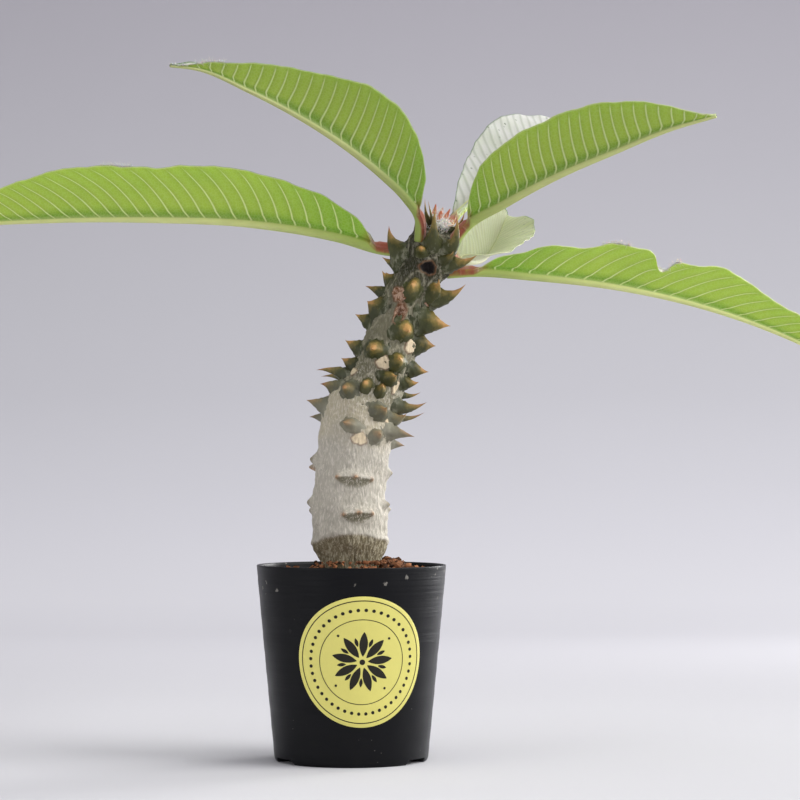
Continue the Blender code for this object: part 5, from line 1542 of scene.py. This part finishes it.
def leaf_grid(leaves, leaf, seed):
    """A leaf's rings of points, upper face then lower, with the values that its materials read.

    Each ring crosses the blade at a share of the midrib. A half leaves the rib at the fold angle and flattens
    to the margin, which waves. The blade swells between its veins as the square of a sine of the vein count.
    """
    share = np.linspace(0.0, 1.0, LEAF_ROWS)
    share = share + 0.25 * np.sin(2 * math.pi * share) / (2 * math.pi)
    line = smooth_curve(midrib(leaf), share)
    tangent = unit(np.gradient(line, axis=0))
    start, ahead = smooth_curve(midrib(leaf), [0.0, 0.01])
    tangent[0] = unit(ahead - start)
    faces_to = np.array(leaf["faces"])
    up = unit(faces_to - (tangent @ faces_to)[:, None] * tangent)
    side = np.cross(tangent, up)[:, None]
    up = up[:, None]
    reach = share[:, None]
    along = np.concatenate([[0.0], np.cumsum(np.linalg.norm(np.diff(line, axis=0), axis=1))])[:, None]
    rib = leaf["petiole_radius"] * (1.0 - 0.80 * reach**0.75)
    opening = leaf["outline"][0][0]
    flat = np.clip((reach - opening) / 0.022, 0.0, 1.0)

    on_rib = np.linspace(0.0, 1.0, RIB_COLUMNS + 1)[:-1]
    on_blade = 1.0 + np.linspace(0.0, 1.0, BLADE_COLUMNS) ** 0.9
    half_place = np.concatenate([on_rib, on_blade])
    place = np.concatenate([-half_place[:0:-1], half_place])[None]
    sign = np.where(place < 0, -1.0, 1.0)
    across = np.clip(np.abs(place) - 1.0, 0.0, 1.0)
    rib_share = np.minimum(np.abs(place), 1.0)

    phases = np.random.default_rng(seed).uniform(0.0, 6.28, (2, 3))
    fringe = np.zeros_like(along * sign)
    for row, (wave, depth) in enumerate(MARGIN_WAVES):
        phase = np.where(sign < 0, phases[0, row], phases[1, row])
        fringe = fringe + depth * np.sin(2 * math.pi * along / wave + phase)
    width = leaf_width(leaf, share)[:, None] + fringe * flat
    if "far" in leaf:
        width = np.where(sign * leaf["near"] < 0, width * between(reach, leaf["far"]), width)
    width = np.maximum(width, rib + 0.0003)
    near = rib_share * rib * 0.9
    out = near + across * (width - rib)

    fold = np.radians(leaf["fold"] - MARGIN_FLATTENING * across) * flat
    mean_fold = np.radians(leaf["fold"] - 0.5 * MARGIN_FLATTENING * across) * flat
    blade = (sign * np.cos(mean_fold))[..., None] * side + np.sin(mean_fold)[..., None] * up
    blade = line[:, None] + out[..., None] * blade
    normal = (-np.sin(fold) * sign)[..., None] * side + np.cos(fold)[..., None] * up
    normal = np.where((place == 0)[..., None], up, normal)

    bent = 0.24 * out * out / np.maximum(width, 0.004)
    hook = VEIN_HOOK * bell((out - rib) / 0.0011)
    drift = 0.10 * np.sin(along / 0.031 + 2.0 * sign + seed) + 0.06 * np.sin(along / 0.0117 + seed)
    vein = (along - between(reach, leaf["lean"]) * out - bent + hook) / leaf["vein_spacing"]
    vein = vein + drift + np.where(sign < 0, 0.5, 0.0) + 40.0
    swell = np.sin(math.pi * (vein + 0.5)) ** 2
    swell = swell * smooth_step(0.0, 0.12, across) * smooth_step(1.0, 0.75, across)
    wave = leaf["wave_height"] * np.sin(2 * math.pi * leaf["waves"] * reach + 1.1 * sign)
    small = 0.00035 * np.sin(2 * math.pi * along / 0.017 + 1.7 * sign + seed)
    push = (wave + small * flat) * across**2 - leaves.quilting * swell * flat
    blade = blade + push[..., None] * normal

    bulge = np.sqrt(np.maximum(rib**2 - near**2, 0.0)) * (across == 0)
    thin = 0.5 * leaves.thickness * (1.0 - 0.55 * across**3)
    above = blade + (thin + 0.90 * bulge * (1.0 - flat))[..., None] * normal
    under = blade - (thin + bulge)[..., None] * normal
    grid = np.concatenate([above, under[:, ::-1]], 1)
    grid = np.concatenate([grid[:1] - STALK_ROOT * tangent[0], grid])

    def both(values, lower=None):
        """A value for the whole ring, from values across the upper face and, if they differ, the lower."""
        lower = values if lower is None else lower
        ring = np.concatenate([values + 0.0 * out, (lower + 0.0 * out)[:, ::-1]], 1)
        return np.concatenate([ring[:1], ring])

    stem_side = smooth_step(0.62, 1.0, rib_share) * smooth_step(0.012, 0.002, out)
    stalk = smooth_step(opening + 0.045, opening, reach)
    values = {
        "reach": both(reach),
        "across": both(across),
        "vein": both(vein),
        "rib": both(smooth_step(rib * 0.9 + 0.0002, rib * 0.68, out)),
        "edge": both(smooth_step(width - 0.0009, width - 0.0003, out) * flat),
        # Which half: the far half takes painted shade on a pale leaf
        "half": both(np.where(sign < 0, 1.0, 0.0)),
        "red": both(stalk, stalk * stem_side),
    }
    return grid, values, line


def make_leaves(leaves):
    """The six long leaves, each one closed skin, with a finish for its upper face and one for its lower."""
    for number, (name, leaf) in enumerate(LEAVES.items()):
        grid, values, line = leaf_grid(leaves, leaf, LEAF_SEED + number)
        points, quads, fans = closed_skins(grid[None], grid[:1].mean(1), line[-1:])
        values = {key: pole_values(value[None]) for key, value in values.items()}
        columns = grid.shape[1]
        column = quads.min(1) % columns
        lower = (column >= columns // 2 - 1) & (quads.max(1) % columns >= columns // 2)
        index = np.concatenate([lower.astype(int), np.zeros(len(fans), int)])
        spacing, look = leaf["vein_spacing"], leaf.get("look")
        finishes = [
            upper_face_finish(leaves, name + "_upper", spacing, look),
            lower_face_finish(leaves, name + "_lower", spacing, look, leaf.get("tone", 1.0)),
        ]
        uv = np.stack([values["reach"], 0.5 + 0.5 * values["across"]], -1)
        made = piece(name + "_blade", points, quads, fans, finishes, values, uv, index)
        place_piece(made, "leaf", name)


def make_down(leaves):
    """Down that shows past the leaves' margins: hairs from a stretch of margin, each a thin ring."""
    draw = np.random.default_rng(SEED + 15)
    feet, leans = [], []
    names = list(LEAVES)
    for name, sign, first, last in DOWNY_MARGINS:
        grid, _, line = leaf_grid(leaves, LEAVES[name], LEAF_SEED + names.index(name))
        margin = grid[1:, grid.shape[1] // 2 - 1] if sign > 0 else grid[1:, 0]
        row = draw.uniform(first, last, MARGIN_HAIRS) * (LEAF_ROWS - 1)
        low = np.minimum(row.astype(int), LEAF_ROWS - 2)
        share = (row - low)[:, None]
        foot = (1 - share) * margin[low] + share * margin[low + 1]
        feet.append(foot)
        leans.append(unit(unit(foot - line[low]) + 0.7 * draw.normal(size=foot.shape)))
    foot, lean = np.concatenate(feet), np.concatenate(leans)
    curl = unit(draw.normal(size=foot.shape))
    length = 0.0019 * draw.uniform(0.4, 1.3, len(foot))
    hairs, along = curled_hairs(foot, lean, curl, length, 0.00010)
    made = piece("leaf_down_hairs", *hairs, [down_finish("leaf_down", leaves.down)], {"along": along})
    place_piece(made, "leaf")


def curled_hairs(foot, lean, curl, length, thickness):
    """Hairs: three points carried along foot + length (t lean + 0.45 t^2 curl), thinner to the tip."""
    t = np.linspace(0.0, 0.97, 7)[None, :, None]
    ring = np.arange(3) * 2 * math.pi / 3
    middle = foot[:, None] + length[:, None, None] * (t * lean[:, None] + 0.45 * t**2 * curl[:, None])
    one = unit(np.cross(lean, curl))
    two = np.cross(lean, one)
    thick = thickness * (1.0 - 0.70 * t)
    grid = middle[:, :, None] + (thick * np.cos(ring))[..., None] * one[:, None, None]
    grid = grid + (thick * np.sin(ring))[..., None] * two[:, None, None]
    tips = foot + length[:, None] * (lean + 0.45 * curl)
    return closed_skins(grid, foot, tips), pole_values(t, grid.shape[:3])


def make_young_leaves(tip):
    """Young leaves: folded slips that stand round the tip, the half width a sine of the share along them."""
    centre, _, tangent, front, right = (v[0] for v in stem_frame([1.0]))
    number = np.arange(YOUNG_LEAVES)
    angle = 2 * math.pi * number / (YOUNG_LEAVES - 1)
    apart = np.where(number == YOUNG_LEAVES - 1, 0.0, YOUNG_APART)
    out = np.cos(angle)[:, None] * front + np.sin(angle)[:, None] * right
    root = centre + (FIT_GAP - YOUNG_ROOT) * tangent + apart[:, None] * out
    along = unit(tangent + 0.28 * out * (apart > 0)[:, None])
    side = unit(np.cross(along, out))
    over = np.cross(side, along)
    length = (YOUNG_LENGTH + YOUNG_ROOT) * np.where(number % 2, 1.0, 0.80)[:, None]
    t = np.linspace(0.0, 0.98, 24)
    share = 0.55 * (1.0 - t) ** 0.5 + 0.85 * np.sin(math.pi * t**0.8) ** 0.9
    turn = np.arange(20) * 2 * math.pi / 20
    flat = np.cos(turn) * (0.42 + 0.18 * np.cos(turn)) - 0.35 * np.abs(np.sin(turn)) ** 1.5
    width = YOUNG_RADIUS * share[None, :, None]
    grid = (
        root[:, None, None]
        + along[:, None, None] * (length * t)[..., None, None]
        - over[:, None, None] * (length * 0.10 * t**2)[..., None, None]
        + (width * np.sin(turn))[..., None] * side[:, None, None]
        + (width * flat)[..., None] * over[:, None, None]
    )
    blades = closed_skins(grid, root, root + (along - 0.10 * over) * length)
    along_value = pole_values(t[None, :, None], grid.shape[:3])
    along_value[-YOUNG_LEAVES:] = 1.0
    made = piece("young_leaf_slips", *blades, [tip_finish(tip)], {"along": along_value})
    place_piece(made, "young_leaf", "young_leaves")


def make_wool(tip):
    """Wool: a lumpy ball over the stem's end, with curled hairs on it and on the bark just below."""
    draw = np.random.default_rng(SEED + 12)
    centre, _, tangent, front, right = (v[0] for v in stem_frame([1.0]))
    fall = np.radians(np.linspace(104.0, 6.0, 24))[:, None, None]
    turn = np.radians(np.arange(0.0, 360.0, 9.0))[:, None]
    way = np.sin(fall) * (np.cos(turn) * front + np.sin(turn) * right) + np.cos(fall) * tangent
    cushion = centre + WOOL_RADIUS * way
    lumps = 0.0006 * ripples(cushion, 0.0030, SEED + 16) + 0.0003 * ripples(cushion, 0.0011, SEED + 17)
    cushion = cushion + lumps[..., None] * way
    poles = (centre - 0.002 * tangent)[None], (centre + WOOL_RADIUS * tangent)[None]
    body = closed_skins(cushion[None], *poles)

    azimuth = draw.uniform(-180.0, 180.0, WOOL_HAIRS)
    height = 0.2525 - 0.0036 * draw.uniform(size=WOOL_HAIRS) ** 1.3
    foot, out, upward, _, _ = on_stem(azimuth, height)
    foot = foot - 0.0008 * out
    lean = 0.55 * out + upward
    on_body = draw.integers(0, lumps.size, WOOL_HAIRS)
    foot = np.concatenate([foot, cushion.reshape(-1, 3)[on_body]])
    lean = np.concatenate([lean, 1.1 * way.reshape(-1, 3)[on_body]])
    lean = unit(lean + 0.5 * draw.normal(size=lean.shape))
    curl = unit(draw.normal(size=foot.shape))
    length = tip.hair_length * draw.uniform(0.4, 1.0, len(foot))
    hairs, along = curled_hairs(foot, lean, curl, length, 0.00018)
    along = np.concatenate([np.full(len(body[0]), 0.35), along])
    finishes = [down_finish("tip_wool", tip.wool)]
    made = piece("tip_wool", *joined([body, hairs]), finishes, {"along": along})
    place_piece(made, "young_leaf")


def make_stage(stage):
    """The studio: a sheet of paper that curves up from the floor into a wall, the lights and the camera."""
    bend = np.radians(np.linspace(0.0, 90.0, 24))[1:]
    path = np.concatenate([
        [[-3.0, 0.0], [SWEEP_BACK, 0.0]],
        np.stack([SWEEP_BACK + SWEEP_RADIUS * np.sin(bend), SWEEP_RADIUS - SWEEP_RADIUS * np.cos(bend)], -1),
        [[SWEEP_BACK + SWEEP_RADIUS, 3.2]],
    ])
    across = np.linspace(-3.2, 3.2, 9)
    sheet = np.stack(np.broadcast_arrays(across[None, :], path[:, :1], path[:, 1:]), -1)
    index = np.arange(len(path) * len(across)).reshape(len(path), -1)
    quads = np.stack([index[:-1, :-1], index[:-1, 1:], index[1:, 1:], index[1:, :-1]], -1).reshape(-1, 4)
    none = np.zeros((0, 3), int)
    piece("studio_sweep", sheet.reshape(-1, 3), quads, none, [backdrop_finish(stage)])

    soft_light("key_light", (1.55, -0.40, 0.95), (0.02, 0.0, 0.16), 1.3, stage.key_power)
    soft_light("fill_light", (-1.15, -0.95, 0.20), (0.0, 0.0, 0.20), 1.0, stage.fill_power)
    soft_light("edge_light", (1.20, 1.00, 0.45), (0.03, 0.0, 0.10), 0.8, stage.edge_power, 45.0)
    soft_light("top_light", (0.30, -0.20, 1.60), (0.02, 0.0, 0.16), 1.2, stage.top_power)
    scene = bpy.context.scene
    scene.world = bpy.data.worlds.new("studio_room")
    scene.world.use_nodes = True
    room = scene.world.node_tree.nodes["Background"].inputs
    room["Color"].default_value = srgb(250, 250, 255)
    room["Strength"].default_value = stage.sky

    camera = bpy.data.cameras.new("camera")
    camera.lens = CAMERA_LENS
    camera.sensor_width = CAMERA_SENSOR
    camera.clip_end = 20.0
    camera.dof.use_dof = False
    scene.camera = bpy.data.objects.new("camera", camera)
    scene.camera.location = CAMERA_PLACE
    scene.camera.rotation_euler = (math.radians(90.0 + CAMERA_PITCH), 0.0, 0.0)
    scene.collection.objects.link(scene.camera)
    scene.view_settings.view_transform = "Standard"


def soft_light(name, place, target, size, power, spread=180.0):
    """A square soft light at a place, its -Z turned to a target, that shines within a spread of degrees."""
    light = bpy.data.lights.new(name, "AREA")
    light.size = size
    light.energy = power
    light.spread = math.radians(spread)
    lamp = bpy.data.objects.new(name, light)
    lamp.location = place
    x, y, z = unit(np.array(target) - np.array(place))
    lamp.rotation_euler = (math.atan2(math.hypot(x, y), -z), 0.0, math.atan2(-x, y))
    bpy.context.scene.collection.objects.link(lamp)


class PACHYPODIUM_OT_pot(bpy.types.Operator):
    """Builds the nursery pot with its drain holes and foot notches."""

    bl_idname = "pachypodium.pot"
    bl_label = "Pot"

    def execute(self, context):
        make_pot(context.scene.pachypodium_pot)
        return {"FINISHED"}


class PACHYPODIUM_OT_label(bpy.types.Operator):
    """Builds the round label and its generic print."""

    bl_idname = "pachypodium.label"
    bl_label = "Label"

    def execute(self, context):
        make_label(context.scene.pachypodium_pot)
        make_print(context.scene.pachypodium_pot)
        return {"FINISHED"}


class PACHYPODIUM_OT_soil(bpy.types.Operator):
    """Builds the potting mix and its crumbs."""

    bl_idname = "pachypodium.soil"
    bl_label = "Potting mix"

    def execute(self, context):
        make_soil(context.scene.pachypodium_pot, context.scene.pachypodium_soil)
        return {"FINISHED"}


class PACHYPODIUM_OT_stem(bpy.types.Operator):
    """Builds the bark with its scars, ridges and wrinkles."""

    bl_idname = "pachypodium.stem"
    bl_label = "Stem"

    def execute(self, context):
        make_stem(context.scene.pachypodium_stem)
        return {"FINISHED"}


class PACHYPODIUM_OT_spines(bpy.types.Operator):
    """Builds every spine."""

    bl_idname = "pachypodium.spines"
    bl_label = "Spines"

    def execute(self, context):
        make_spines(context.scene.pachypodium_spines)
        return {"FINISHED"}


class PACHYPODIUM_OT_leaves(bpy.types.Operator):
    """Builds the six long leaves and the down along their margins."""

    bl_idname = "pachypodium.leaves"
    bl_label = "Leaves"

    def execute(self, context):
        make_leaves(context.scene.pachypodium_leaves)
        make_down(context.scene.pachypodium_leaves)
        return {"FINISHED"}


class PACHYPODIUM_OT_tip(bpy.types.Operator):
    """Builds the young leaves and the wool of the growing tip."""

    bl_idname = "pachypodium.tip"
    bl_label = "Growing tip"

    def execute(self, context):
        make_young_leaves(context.scene.pachypodium_tip)
        make_wool(context.scene.pachypodium_tip)
        return {"FINISHED"}


class PACHYPODIUM_OT_stage(bpy.types.Operator):
    """Builds the studio: paper sweep, lights and camera."""

    bl_idname = "pachypodium.stage"
    bl_label = "Stage"

    def execute(self, context):
        make_stage(context.scene.pachypodium_stage)
        return {"FINISHED"}


class PACHYPODIUM_PT_sidebar(bpy.types.Panel):
    """Lists the pieces in the order in which they are built."""

    bl_idname = "PACHYPODIUM_PT_sidebar"
    bl_label = "Potted pachypodium"
    bl_space_type = "VIEW_3D"
    bl_region_type = "UI"
    bl_category = "Pachypodium"

    def draw(self, context):
        for operator in OPERATORS:
            self.layout.operator(operator.bl_idname)
        for key, group in GROUPS.items():
            box = self.layout.box()
            box.label(text=group.__doc__)
            for name in group.__annotations__:
                box.prop(getattr(context.scene, key), name)


GROUPS = {
    "pachypodium_pot": PotSettings,
    "pachypodium_soil": SoilSettings,
    "pachypodium_stem": StemSettings,
    "pachypodium_spines": SpineSettings,
    "pachypodium_leaves": LeafSettings,
    "pachypodium_tip": TipSettings,
    "pachypodium_stage": StageSettings,
}
OPERATORS = (
    PACHYPODIUM_OT_pot,
    PACHYPODIUM_OT_label,
    PACHYPODIUM_OT_soil,
    PACHYPODIUM_OT_stem,
    PACHYPODIUM_OT_spines,
    PACHYPODIUM_OT_leaves,
    PACHYPODIUM_OT_tip,
    PACHYPODIUM_OT_stage,
)


def register():
    """Registers the settings, the operators and the panel."""
    for key, group in GROUPS.items():
        bpy.utils.register_class(group)
        setattr(bpy.types.Scene, key, bpy.props.PointerProperty(type=group))
    for operator in OPERATORS:
        bpy.utils.register_class(operator)
    bpy.utils.register_class(PACHYPODIUM_PT_sidebar)


def unregister():
    """Undoes register."""
    bpy.utils.unregister_class(PACHYPODIUM_PT_sidebar)
    for operator in reversed(OPERATORS):
        bpy.utils.unregister_class(operator)
    for key, group in reversed(GROUPS.items()):
        delattr(bpy.types.Scene, key)
        bpy.utils.unregister_class(group)


def main():
    """Registers the settings, operators and panel, then builds every piece and the stage."""
    register()
    for operator in OPERATORS:
        group, name = operator.bl_idname.split(".")
        getattr(getattr(bpy.ops, group), name)()


if __name__ == "__main__":
    main()
